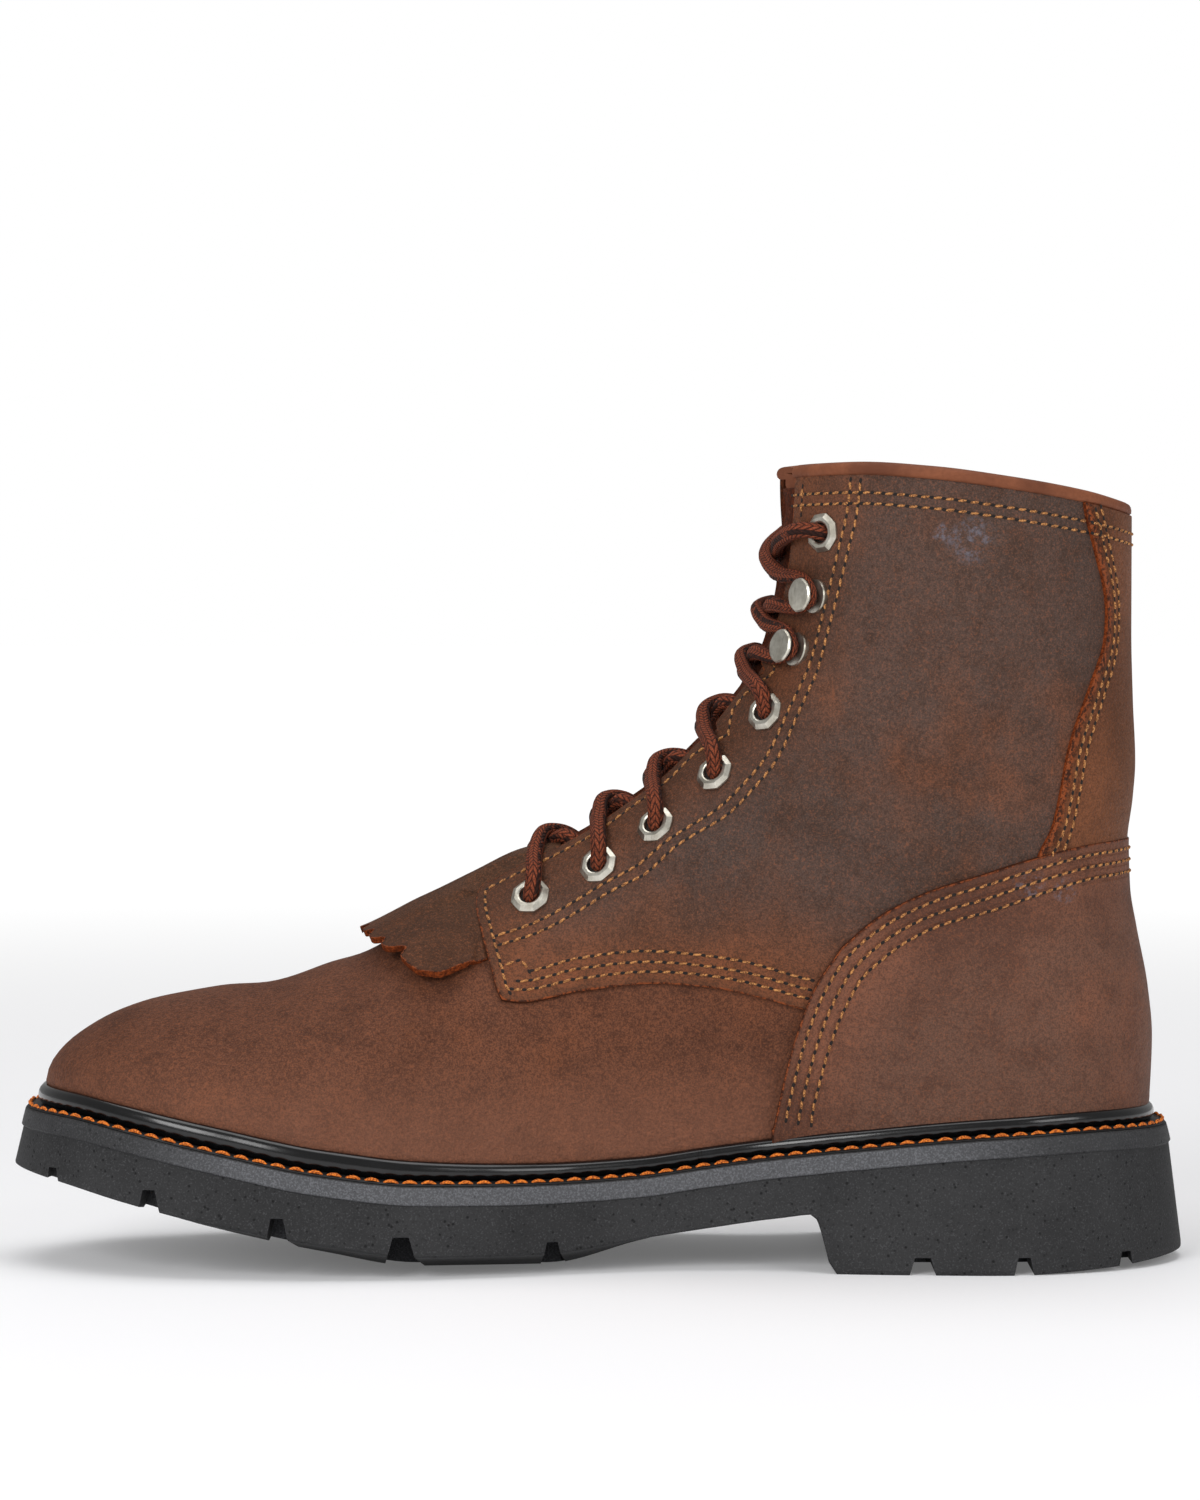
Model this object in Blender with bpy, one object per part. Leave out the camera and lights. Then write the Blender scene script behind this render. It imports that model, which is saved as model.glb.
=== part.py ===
"""Right-foot kiltie work boot: a leather lacer on a lugged rubber sole.

The toe points to -X, the medial (inner) side faces -Y, the floor is z = 0 and the
origin is the middle of the footprint. Sizes are written in millimetres and turned
into metres where a mesh is made. Every leather piece comes from one function,
half_width, which gives the half width of the lasted boot at any point of its side
view. A point of the side view is lifted to that skin and then moved along its normal.
"""
import math
from collections import namedtuple

import bmesh
import bpy
import numpy as np
from mathutils import Matrix, Vector

for old in list(bpy.data.objects):
    bpy.data.objects.remove(old, do_unlink=True)

MM = 0.001
GAP = 0.3

# Driving sizes, in millimetres
WALL = 2.0
LAYER_GAP = 0.5
QUARTER_THICK = 1.1
STAY_THICK = 1.7
BINDING_THICK = 1.0
BINDING_DROP = 4.0
TONGUE_THICK = 2.0
TONGUE_CROWN = 3.5
TONGUE_MARGIN = 9.0
KILTIE_THICK = 1.8
TOE_ROUND = 45.0
HEEL_ROUND = 43.0
BULGE_HEIGHT = 7.2
WELT_SEAT = 0.5
WELT_THICK = 1.5
BEAD_RADIUS = 2.1
BEAD_OFFSET = -0.5
LEDGE_REACH = 5.0
LEDGE_INNER = -7.4
HEEL_EXTRA = 2.0
HEEL_STEP = (36.0, 58.0)
SOLE_REACH = 5.5
BAND_HEIGHT = 5.2
BAND_BEVEL = 0.6
INSOLE_THICK = 3.9
INSOLE_INSET = -9.2
LACE_RADIUS = 2.2
CROWN_OFFSET = 3.2
EYELET_RADIUS = 5.0
EYELET_HOLE = 2.7
EYELET_HEIGHT = 1.2
METAL_SEAT = 0.9
METAL_SIDES = 8
HOOK_RADIUS = 4.3
HOOK_NECK = 1.9
HOOK_HEIGHT = 5.4
SHARP_EDGE = math.radians(45)
ACROSS = (-90.0, 90.0)
FLOOR_CLEAR = 6.0

MEDIAL, LATERAL = -1, 1
SIDES = {"medial": MEDIAL, "lateral": LATERAL}

Spot = namedtuple("Spot", "x z")
PlanRow = namedtuple("PlanRow", "x axis medial lateral")
ShaftRow = namedtuple("ShaftRow", "z width gap")
SoleRow = namedtuple("SoleRow", "x top edge middle")
TuckRow = namedtuple("TuckRow", "height inset")
GrooveRow = namedtuple("GrooveRow", "x width depth")
FringeRow = namedtuple("FringeRow", "angle x")
LaceRow = namedtuple("LaceRow", "x z kind")
CordRow = namedtuple("CordRow", "climb across height")
SpoolRow = namedtuple("SpoolRow", "radius height")

# Side view of the lasted upper, without its overlays: toe to collar, then heel to collar
FRONT = (
    Spot(-145.2, 44.0), Spot(-144.4, 49.5), Spot(-142.0, 53.8), Spot(-136.7, 58.8),
    Spot(-126.0, 64.9), Spot(-115.0, 68.4), Spot(-100.0, 70.8), Spot(-84.0, 72.9),
    Spot(-70.0, 77.0), Spot(-57.7, 82.0), Spot(-45.0, 89.5), Spot(-31.0, 98.0),
    Spot(-21.0, 104.4), Spot(-6.0, 111.5), Spot(9.0, 121.0), Spot(20.5, 130.2),
    Spot(32.0, 143.2), Spot(39.0, 153.0), Spot(43.8, 164.0), Spot(46.5, 177.0),
    Spot(47.8, 190.0), Spot(48.5, 209.0),
)
BACK = (
    Spot(141.8, 40.0), Spot(142.5, 58.0), Spot(141.3, 71.0), Spot(138.4, 86.0),
    Spot(136.6, 97.0), Spot(136.2, 109.0), Spot(137.6, 121.0), Spot(138.2, 130.0),
    Spot(137.5, 146.0), Spot(137.0, 165.0), Spot(137.0, 200.0),
)
COLLAR = (
    Spot(45.0, 205.6), Spot(56.0, 206.8), Spot(67.0, 207.2), Spot(85.0, 206.0),
    Spot(103.0, 203.6), Spot(125.0, 199.6), Spot(140.0, 195.4),
)

# Plan of the lasted upper at its widest line, before the toe and the heel are rounded
PLAN = (
    PlanRow(-147.0, -5.0, 34.0, 35.0),
    PlanRow(-130.0, -5.0, 36.5, 38.0),
    PlanRow(-115.0, -4.5, 38.5, 39.0),
    PlanRow(-95.0, -3.0, 42.5, 42.5),
    PlanRow(-75.0, -1.5, 46.0, 46.5),
    PlanRow(-55.0, 0.0, 46.5, 47.5),
    PlanRow(-30.0, 0.0, 41.5, 46.0),
    PlanRow(-5.0, 0.0, 33.5, 41.0),
    PlanRow(20.0, 0.0, 28.5, 36.5),
    PlanRow(45.0, 0.0, 28.0, 34.0),
    PlanRow(75.0, 0.0, 31.0, 33.0),
    PlanRow(100.0, 0.0, 32.5, 32.5),
    PlanRow(143.0, 0.0, 33.0, 33.0),
)
# Half width of the shaft and half of the lacing gap, by height
SHAFT = (
    ShaftRow(60.0, 34.5, 8.0),
    ShaftRow(90.0, 34.0, 9.0),
    ShaftRow(120.0, 35.0, 9.0),
    ShaftRow(150.0, 37.0, 11.0),
    ShaftRow(175.0, 38.0, 14.0),
    ShaftRow(207.0, 38.5, 15.5),
)
SHAFT_BLEND = (55.0, 110.0)
INSTEP_BLEND = (-25.0, 35.0)
SHAFT_ROUND = (44.0, 80.0)

# The sole's top, the edge of its bottom and the middle of its bottom, by length
SOLE = (
    SoleRow(-153.0, 40.4, 25.6, 24.6),
    SoleRow(-137.0, 39.6, 22.8, 21.0),
    SoleRow(-122.0, 37.0, 19.3, 16.4),
    SoleRow(-101.0, 32.6, 14.6, 10.4),
    SoleRow(-71.0, 26.6, 9.2, 3.8),
    SoleRow(-48.0, 24.0, 6.0, 0.0),
    SoleRow(-14.0, 23.3, 5.6, 0.0),
    SoleRow(10.0, 24.2, 8.6, 5.6),
    SoleRow(28.0, 26.6, 11.2, 9.7),
    SoleRow(45.0, 28.9, 13.7, 12.7),
    SoleRow(55.4, 30.2, 15.2, 14.5),
    SoleRow(60.4, 30.8, 0.0, 0.0),
    SoleRow(104.0, 34.8, 0.0, 0.0),
    SoleRow(130.0, 35.8, 1.0, 0.8),
    SoleRow(153.0, 35.2, 2.8, 2.4),
)
BREAST = (55.4, 60.4)
FLAT_SHARE = 0.45
SOLE_FLARE = {"side": 0.05, "toe": 0.15, "heel": 0.1}
HEEL_WIDER = (42.0, 52.0, 1.6)
SOLE_STATIONS = 30

# Grooves across both edges of the tread, left open to the side
GROOVES = (
    GrooveRow(-141.0, 3.0, 3.0), GrooveRow(-115.0, 4.6, 5.0), GrooveRow(-82.0, 4.6, 5.0),
    GrooveRow(-50.5, 6.0, 5.0), GrooveRow(-12.0, 4.0, 3.0), GrooveRow(83.0, 6.0, 4.5),
    GrooveRow(109.0, 4.6, 4.5), GrooveRow(136.0, 3.4, 3.5),
)
GROOVE_SPINE = 17.0

# How the upper turns in under itself to stand on the welt, below its widest line
TUCK = (TuckRow(2.3, 5.1), TuckRow(4.6, 4.6), TuckRow(6.3, 1.2))
TUCK_INNER_RISE = 0.4

# Counter, backstay and quarter, as lines in the side view, closed well past the boot's outline
PAST_HEEL, PAST_SOLE = 160.0, 20.0
COUNTER_TOP = 109.6
COUNTER_EDGE = (
    Spot(146.0, COUNTER_TOP), Spot(125.0, 109.7), Spot(112.0, 106.9), Spot(98.0, 102.6),
    Spot(82.8, 97.6), Spot(72.0, 92.0), Spot(62.5, 84.0), Spot(56.0, 74.0),
    Spot(51.5, 62.5), Spot(47.5, 48.0), Spot(43.8, 34.0),
)
BACKSTAY_EDGE = (
    Spot(114.2, 107.8), Spot(117.6, 114.0), Spot(120.0, 123.0), Spot(122.4, 136.0),
    Spot(127.6, 151.0), Spot(132.0, 164.0), Spot(131.6, 175.0), Spot(128.6, 186.0),
    Spot(126.2, 194.0),
)
QUARTER_EDGE = (
    Spot(-31.5, 99.0), Spot(-31.8, 94.0), Spot(-30.4, 86.5), Spot(-27.6, 76.5),
    Spot(-25.6, 71.2), Spot(-22.0, 70.6), Spot(-5.0, 73.2), Spot(13.0, 75.4),
    Spot(28.0, 74.6), Spot(53.0, 68.2),
)
PAST_FRONT = (Spot(20.0, 200.0), Spot(-50.0, 118.0))
COLLAR_STOPS = (125.0, 103.0, 85.0, 67.0, 56.0, 45.0)

# Fringe flap: its front edge by angle round the vamp's ridge, in degrees
KILTIE_FRONT = (FringeRow(0.0, -60.4), FringeRow(18.0, -57.4), FringeRow(31.0, -51.3), FringeRow(42.0, -45.5))
KILTIE_ANGLE = 42.0
KILTIE_COLUMNS = 21
KILTIE_STRIP = 10.0
KILTIE_REACH = (-32.6, -25.0)
KILTIE_LIFT = 3.6
SCALLOP_ANGLE = 8.4
SCALLOP_DEPTH = 1.5

# Eyelets and hooks up the facing, from the throat to the collar
LACING = (
    LaceRow(-17.5, 94.9, "eyelet"), LaceRow(0.4, 103.4, "eyelet"), LaceRow(15.5, 113.5, "eyelet"),
    LaceRow(30.8, 127.2, "eyelet"), LaceRow(44.1, 143.1, "eyelet"), LaceRow(52.0, 159.6, "hook"),
    LaceRow(56.8, 173.6, "hook"), LaceRow(58.7, 190.1, "eyelet"),
)
# A lace run: its climb to the next pair, its place across the gap and its height over the skin
OVER_FACING = LAYER_GAP + QUARTER_THICK + METAL_SEAT + LACE_RADIUS
LACE_RUN = (
    CordRow(0.2, 1.05, OVER_FACING + 3 * GAP),
    CordRow(0.5, 0.0, CROWN_OFFSET),
    CordRow(0.8, -0.62, CROWN_OFFSET - 1.5),
)
HOOK_START = CordRow(0.0, 1.25, OVER_FACING + GAP)
SPOOL = (
    SpoolRow(0.0, 0.0), SpoolRow(HOOK_RADIUS, 0.0), SpoolRow(HOOK_RADIUS, 0.7), SpoolRow(HOOK_NECK, 1.3),
    SpoolRow(HOOK_NECK, 3.8), SpoolRow(HOOK_RADIUS, HOOK_HEIGHT - 1.2),
    SpoolRow(HOOK_RADIUS - 0.4, HOOK_HEIGHT - 0.3), SpoolRow(0.0, HOOK_HEIGHT),
)
EYELET_RIM = (
    SpoolRow(EYELET_HOLE, 0.0), SpoolRow(EYELET_RADIUS, 0.0),
    SpoolRow(EYELET_RADIUS - 0.5, EYELET_HEIGHT * 0.6), SpoolRow(EYELET_HOLE, EYELET_HEIGHT),
)

# Mesh density of the lasted skin
COLUMNS = 16
RINGS = 17
FACING_COLUMN = 1
THROAT_X = -24.0
OUTLINE_COLUMNS = 24
RIDGE_SAMPLES = 900
CORD_STATIONS, CORD_SIDES = 5, 6

FINISHES = {
    "oiled_leather": ((0.125, 0.058, 0.035), 0.62, 0.0),
    "binding_leather": ((0.22, 0.085, 0.045), 0.6, 0.0),
    "tongue_leather": ((0.06, 0.026, 0.016), 0.7, 0.0),
    "sole_rubber": ((0.052, 0.054, 0.058), 0.75, 0.0),
    "welt_rubber": ((0.012, 0.012, 0.014), 0.35, 0.0),
    "footbed": ((0.32, 0.22, 0.14), 0.85, 0.0),
    "nickel": ((0.62, 0.58, 0.52), 0.32, 1.0),
    "lace_cord": ((0.13, 0.035, 0.018), 0.8, 0.0),
}


def smooth_curve(xs, ys):
    """Monotone cubic through the given points, held level past both ends."""
    xs = np.asarray(xs, dtype=float)
    ys = np.asarray(ys, dtype=float)
    step = np.diff(xs)
    slope = np.diff(ys) / step
    tangent = np.empty_like(ys)
    tangent[0], tangent[-1] = slope[0], slope[-1]
    for i in range(1, len(xs) - 1):
        before, after = slope[i - 1], slope[i]
        tangent[i] = 0.0 if before * after <= 0 else 2 * before * after / (before + after)

    def value(x):
        x = np.clip(x, xs[0], xs[-1])
        i = np.clip(np.searchsorted(xs, x, side="right") - 1, 0, len(step) - 1)
        t = (x - xs[i]) / step[i]
        start = ys[i] * (1 + 2 * t) * (1 - t) ** 2 + tangent[i] * step[i] * t * (1 - t) ** 2
        end = ys[i + 1] * t * t * (3 - 2 * t) + tangent[i + 1] * step[i] * t * t * (t - 1)
        return start + end

    return value


def table_curve(rows, key, column):
    """Smooth curve of one column of a table against another."""
    return smooth_curve([getattr(r, key) for r in rows], [getattr(r, column) for r in rows])


def smooth_step(low, high, value):
    t = np.clip((value - low) / (high - low), 0.0, 1.0)
    return t * t * (3 - 2 * t)


def round_over(depth, reach):
    """Quarter round from 0 at the silhouette to 1 at the given depth behind it."""
    t = np.clip(depth / reach, 0.0, 1.0)
    return np.sqrt(1.0 - (1.0 - t) ** 2)


axis_at = table_curve(PLAN, "x", "axis")
plan_width = {MEDIAL: table_curve(PLAN, "x", "medial"), LATERAL: table_curve(PLAN, "x", "lateral")}
shaft_width = table_curve(SHAFT, "z", "width")
lacing_gap = table_curve(SHAFT, "z", "gap")
sole_top = table_curve(SOLE, "x", "top")
collar_height = table_curve(COLLAR, "x", "z")
ridge_height = table_curve(FRONT, "x", "z")
front_line = table_curve(FRONT, "z", "x")
back_line = table_curve(BACK, "z", "x")
RIDGE_X = np.linspace(FRONT[0].x, FRONT[-1].x, RIDGE_SAMPLES)
RIDGE_Z = ridge_height(RIDGE_X)
RIDGE_ARC = np.concatenate([[0], np.cumsum(np.hypot(np.diff(RIDGE_X), np.diff(RIDGE_Z)))])


def widest_line(x):
    """Height of the line just above the welt where the upper is at its plan width."""
    return sole_top(x) + BULGE_HEIGHT


def half_width(x, z, side):
    """Half width of the lasted boot at a point of its side view."""
    plan = plan_width[side](x)
    width = plan + (shaft_width(z) - plan) * smooth_step(*SHAFT_BLEND, z)
    ridge = ridge_height(x)
    vamp = round_over(x - FRONT[0].x, TOE_ROUND)
    vamp = vamp * round_over(ridge - z, np.maximum(ridge - widest_line(x), 1.0))
    front, back = front_line(z), back_line(z)
    leg = round_over(x - front, np.clip((back - front) / 2, *SHAFT_ROUND))
    nose = vamp + (leg - vamp) * smooth_step(*INSTEP_BLEND, x)
    return width * nose * round_over(back - x, HEEL_ROUND)


def lift(x, z, side):
    """Point of the skin over a point of the side view."""
    return np.stack([x, axis_at(x) + side * half_width(x, z, side), z], axis=-1)


def skin_normal(x, z, side):
    """Outward normal of the skin over a point of the side view."""
    step = 0.4
    along = lift(x + step, z, side) - lift(x - step, z, side)
    upward = lift(x, z + step, side) - lift(x, z - step, side)
    normal = np.cross(along, upward)
    if normal[1] * side < 0:
        normal = -normal
    return normal / np.linalg.norm(normal)


def skin_point(x, z, side, offset=0.0):
    x, z = float(x), float(z)
    return lift(np.float64(x), np.float64(z), side) + offset * skin_normal(x, z, side)


class Ring:
    """One nearly level line round the boot, from its front edge to its back edge."""

    def __init__(self, level):
        self.level = level
        toe = np.interp(widest_line(FRONT[0].x), RIDGE_Z, RIDGE_ARC)
        top = np.interp(COLLAR[0].z, RIDGE_Z, RIDGE_ARC)
        place = toe + (top - toe) * level
        self.front = Spot(np.interp(place, RIDGE_ARC, RIDGE_X), np.interp(place, RIDGE_ARC, RIDGE_Z))
        low, high = widest_line(BACK[0].x), collar_height(BACK[-1].x)
        back_z = low + (high - low) * level ** 1.5
        self.back = Spot(back_line(back_z), back_z)

    def height(self, x):
        """Height of the ring at a length x: level, with the welt's dip and the collar's rise."""
        ends = (self.front.x, self.back.x)
        straight = np.interp(x, ends, (self.front.z, self.back.z))
        dip = widest_line(x) - np.interp(x, ends, (widest_line(ends[0]), widest_line(ends[1])))
        rise = collar_height(x) - np.interp(x, ends, (collar_height(ends[0]), collar_height(ends[1])))
        return straight + dip * (1 - self.level) ** 2 + rise * self.level ** 6

    def width(self, x, side):
        return half_width(x, self.height(x), side)

    def facing_share(self, side):
        """Share of the ring's length at which the skin is half a lacing gap wide."""
        low, high = 0.0, 0.5
        for _ in range(40):
            middle = (low + high) / 2
            x = self.front.x + (self.back.x - self.front.x) * middle
            if self.width(x, side) < lacing_gap(self.front.z):
                low = middle
            else:
                high = middle
        return (low + high) / 2

    def half(self, side, columns, facing):
        """Points from the front edge to the back edge on one side."""
        share = self.facing_share(side)
        start = math.acos(1 - 2 * share)
        shares = [share * (i / facing) ** 2 for i in range(facing)]
        angles = np.linspace(start, math.pi, columns - facing + 1)
        shares = np.concatenate([shares, (1 - np.cos(angles)) / 2])
        x = self.front.x + (self.back.x - self.front.x) * shares
        return lift(x, self.height(x), side)

    def loop(self, columns, facing):
        """Closed loop: front edge, medial side, back edge, lateral side."""
        medial = self.half(MEDIAL, columns, facing)
        lateral = self.half(LATERAL, columns, facing)
        return np.concatenate([medial, lateral[-2:0:-1]])


def loop_normals(loop):
    """Outward plan normals of a closed loop that runs toe, medial side, heel."""
    run = np.roll(loop, -1, axis=0) - np.roll(loop, 1, axis=0)
    normals = np.stack([run[:, 1], -run[:, 0], np.zeros(len(loop))], axis=1)
    return normals / np.linalg.norm(normals, axis=1, keepdims=True)


def grid_normals(grid):
    """Outward normals of a stack of closed loops."""
    round_run = np.roll(grid, -1, axis=1) - np.roll(grid, 1, axis=1)
    up_run = np.gradient(grid, axis=0)
    normals = np.cross(round_run, up_run)
    return normals / np.linalg.norm(normals, axis=2, keepdims=True)


def ring_levels():
    """Levels of the rings, with one at the throat, where the lacing gap begins."""
    ends = [Ring(level) for level in np.linspace(0, 1, 200)]
    throat = np.interp(THROAT_X, [r.front.x for r in ends], [r.level for r in ends])
    below = round(RINGS * throat)
    lower = np.linspace(0, throat, below + 1)
    return np.concatenate([lower, np.linspace(throat, 1, RINGS - below + 1)[1:]]), below


LEVELS, THROAT_RING = ring_levels()
SKIN = np.stack([Ring(level).loop(COLUMNS, FACING_COLUMN) for level in LEVELS])
NORMALS = grid_normals(SKIN)


def material(finish):
    """Principled material of one finish, made once."""
    if finish in bpy.data.materials:
        return bpy.data.materials[finish]
    colour, roughness, metallic = FINISHES[finish]
    made = bpy.data.materials.new(finish)
    made.use_nodes = True
    shader = made.node_tree.nodes["Principled BSDF"]
    shader.inputs["Base Color"].default_value = (*colour, 1.0)
    shader.inputs["Roughness"].default_value = roughness
    shader.inputs["Metallic"].default_value = metallic
    return made


def make_mesh(name, points, faces, finish):
    """Mesh in metres, its points on an axis merged, loose ones dropped and faces turned outwards."""
    mesh = bpy.data.meshes.new(name)
    mesh.from_pydata([tuple(float(v) * MM for v in p) for p in points], [], faces)
    shape = bmesh.new()
    shape.from_mesh(mesh)
    bmesh.ops.remove_doubles(shape, verts=shape.verts, dist=GAP * MM / 100)
    bmesh.ops.delete(shape, geom=[e for e in shape.edges if not e.link_faces], context="EDGES")
    bmesh.ops.delete(shape, geom=[v for v in shape.verts if not v.link_faces], context="VERTS")
    bmesh.ops.recalc_face_normals(shape, faces=shape.faces)
    shape.to_mesh(mesh)
    shape.free()
    mesh.materials.append(material(finish))
    mesh.shade_smooth()
    mesh.set_sharp_from_angle(angle=SHARP_EDGE)
    return mesh


def add_piece(name, mesh, place=None):
    """Object of one sub-part, carried by the boot's empty."""
    piece = bpy.data.objects.new(name, mesh)
    bpy.context.collection.objects.link(piece)
    piece.parent = BOOT
    if place is not None:
        piece.matrix_local = place
    return piece


def add_guide(name, points, faces):
    """Closed shape that only cuts others."""
    guide = add_piece(name, make_mesh(name, points, faces, "sole_rubber"))
    guide.hide_render = True
    guide.display_type = "WIRE"
    return guide


def carve(piece, guide, operation):
    cut = piece.modifiers.new(guide.name, "BOOLEAN")
    cut.operation = operation
    cut.solver = "EXACT"
    cut.object = guide


def shell(outer, inner, keep, closed):
    """Points and faces of the skin between two grids, with rims round the kept cells.

    Every cell is split along the same diagonal, so layers of one skin stay parallel.
    """
    rows, columns = outer.shape[:2]
    points = np.concatenate([outer.reshape(-1, 3), inner.reshape(-1, 3)])
    below = rows * columns
    faces = []
    spans = columns if closed else columns - 1

    def kept(row, column):
        if not 0 <= row < rows - 1:
            return False
        if closed:
            return keep[row, column % columns]
        return 0 <= column < spans and keep[row, column]

    for row in range(rows - 1):
        for column in range(spans):
            if not kept(row, column):
                continue
            after = (column + 1) % columns
            a, b = row * columns + column, row * columns + after
            c, d = b + columns, a + columns
            faces += [(a, b, c), (a, c, d)]
            faces += [(below + a, below + c, below + b), (below + a, below + d, below + c)]
            rims = ((row - 1, column, a, b), (row, column + 1, b, c),
                    (row + 1, column, c, d), (row, column - 1, d, a))
            for near_row, near_column, start, end in rims:
                if not kept(near_row, near_column):
                    faces.append((start, below + start, below + end, end))
    return points, faces


def swept(sections, closed):
    """Points and faces of a section carried along stations, capped where it is open."""
    stations, corners = sections.shape[:2]
    faces = []
    for station in range(stations if closed else stations - 1):
        ahead = (station + 1) % stations
        for corner in range(corners):
            after = (corner + 1) % corners
            faces.append((station * corners + corner, station * corners + after,
                          ahead * corners + after, ahead * corners + corner))
    if not closed:
        faces.append(tuple(range(corners)))
        faces.append(tuple((stations - 1) * corners + c for c in range(corners)))
    return sections.reshape(-1, 3), faces


def prism(outline, span=ACROSS):
    """Points and faces of a side-view outline carried across the boot."""
    sections = np.array([[(x, y, z) for x, z in outline] for y in span])
    return swept(sections, closed=False)


def turned(profile, sides):
    """Points and faces of a closed profile (radius, height) spun into a ring or a spool."""
    turns = np.linspace(0, 2 * math.pi, sides, endpoint=False)
    sections = np.array([[(r * math.cos(t), r * math.sin(t), h) for r, h in profile] for t in turns])
    return swept(sections, closed=True)


def outline_loop(offset, heel_extra=0.0):
    """Plan loop round the boot at a distance outside the upper's widest line."""
    loop = Ring(0.0).loop(OUTLINE_COLUMNS, FACING_COLUMN)
    reach = offset + heel_extra * smooth_step(*HEEL_STEP, loop[:, 0])
    return loop + loop_normals(loop) * reach[:, None]


def at_height(loop, height):
    """Plan loop laid on the sole's top, raised by the given height."""
    laid = loop.copy()
    laid[:, 2] = sole_top(loop[:, 0]) + height
    return laid


def build_upper():
    """Lasted upper: one wall, open at the collar, down the lacing gap and underneath."""
    base_normals = loop_normals(SKIN[0])
    outer_rows, inner_rows = [], []
    for row in TUCK:
        outer_rows.append(at_height(SKIN[0] - base_normals * row.inset, row.height))
        inside = SKIN[0] - base_normals * (row.inset + WALL)
        inner_rows.append(at_height(inside, row.height + TUCK_INNER_RISE))
    inner_rows[0][:, 2] = outer_rows[0][:, 2]
    outer = np.concatenate([outer_rows, SKIN])
    inner = np.concatenate([inner_rows, SKIN - NORMALS * WALL])
    keep = np.ones((len(outer) - 1, outer.shape[1]), dtype=bool)
    open_row = THROAT_RING + len(TUCK)
    keep[open_row:, :FACING_COLUMN] = False
    keep[open_row:, -FACING_COLUMN:] = False
    points, faces = shell(outer, inner, keep, closed=True)
    add_piece("upper", make_mesh("upper", points, faces, "oiled_leather"))


def overlay(name, columns, thick, outline):
    """Layer of leather over the skin, cut to a side-view outline."""
    near, far = LAYER_GAP, LAYER_GAP + thick
    inner = SKIN[:, columns] + NORMALS[:, columns] * near
    outer = SKIN[:, columns] + NORMALS[:, columns] * far
    keep = np.ones((len(LEVELS) - 1, len(columns) - 1), dtype=bool)
    points, faces = shell(outer, inner, keep, closed=False)
    piece = add_piece(name, make_mesh(name, points, faces, "oiled_leather"))
    guide = add_guide(name + "_outline", *prism(outline))
    carve(piece, guide, "INTERSECT")


def shifted(line, x, z):
    return [Spot(p.x + x, p.z + z) for p in line]


def below_binding(xs):
    """Points under the collar's binding, in the side view."""
    return [Spot(x, float(collar_height(x)) - BINDING_DROP - 2 * GAP) for x in xs]


def build_overlays():
    """Quarters, counter and backstay, each clear of the next by one gap."""
    back_columns = np.arange(COLUMNS // 2 - 1, COLUMNS * 3 // 2 + 2)
    counter = list(COUNTER_EDGE)
    counter += [Spot(COUNTER_EDGE[-1].x, PAST_SOLE), Spot(PAST_HEEL, PAST_SOLE), Spot(PAST_HEEL, COUNTER_TOP)]
    overlay("heel_counter", back_columns, STAY_THICK, counter)

    above_counter = shifted(COUNTER_EDGE[:2], 0.0, LAYER_GAP)
    top = below_binding((BACKSTAY_EDGE[-1].x + 1.0, COLLAR[-1].x, PAST_HEEL))
    stay = list(BACKSTAY_EDGE) + top + [Spot(PAST_HEEL, above_counter[0].z)] + above_counter
    overlay("backstay", back_columns, STAY_THICK, stay)

    upright = [p for p in BACKSTAY_EDGE if p.z > COUNTER_TOP]
    counter_side = [p for p in COUNTER_EDGE if QUARTER_EDGE[-1].x < p.x < BACKSTAY_EDGE[0].x]
    quarter = list(QUARTER_EDGE) + shifted(reversed(counter_side), -LAYER_GAP, LAYER_GAP)
    quarter += shifted(upright, -LAYER_GAP, 0.0) + below_binding(COLLAR_STOPS) + list(PAST_FRONT)
    sides = {"medial": np.arange(FACING_COLUMN, COLUMNS),
             "lateral": np.arange(COLUMNS + 1, 2 * COLUMNS - FACING_COLUMN + 1)}
    for side, columns in sides.items():
        overlay("quarter_" + side, columns, QUARTER_THICK, quarter)


def build_binding():
    """Folded strip over the collar's raw edge, from one facing round the back to the other."""
    columns = np.arange(FACING_COLUMN, 2 * COLUMNS - FACING_COLUMN + 1)
    top, normals = SKIN[-1, columns], NORMALS[-1, columns]
    out, back = GAP + BINDING_THICK, -WALL - GAP - BINDING_THICK
    crown = GAP + BINDING_THICK
    section = ((GAP, -BINDING_DROP), (out, -BINDING_DROP), (out, crown - 0.6), (out - 0.7, crown),
               (back + 0.7, crown), (back, crown - 0.6), (back, -BINDING_DROP),
               (-WALL - GAP, -BINDING_DROP), (-WALL - GAP, GAP), (GAP, GAP))
    up = np.array([0.0, 0.0, 1.0])
    sections = np.stack([top + normals * out_by + up * up_by for out_by, up_by in section], axis=1)
    points, faces = swept(sections, closed=False)
    add_piece("collar_binding", make_mesh("collar_binding", points, faces, "binding_leather"))


def front_strip(levels, shares, margin, offset):
    """Grid across the front of the boot: a row for each level, out to a margin past the gap."""
    rows = []
    for level in levels:
        ring = Ring(level)
        xs = ring.front.x + (ring.back.x - ring.front.x) * np.linspace(0, 0.5, 400) ** 2
        row = []
        for share in shares:
            side = MEDIAL if share < 0 else LATERAL
            x = np.interp(abs(share) * (lacing_gap(ring.front.z) + margin), ring.width(xs, side), xs)
            row.append(lift(x, ring.height(x), side))
        rows.append(row)
    grid = np.array(rows)
    normals = np.cross(np.gradient(grid, axis=0), np.gradient(grid, axis=1))
    normals /= np.linalg.norm(normals, axis=2, keepdims=True)
    return grid + normals * offset[..., None]


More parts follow.
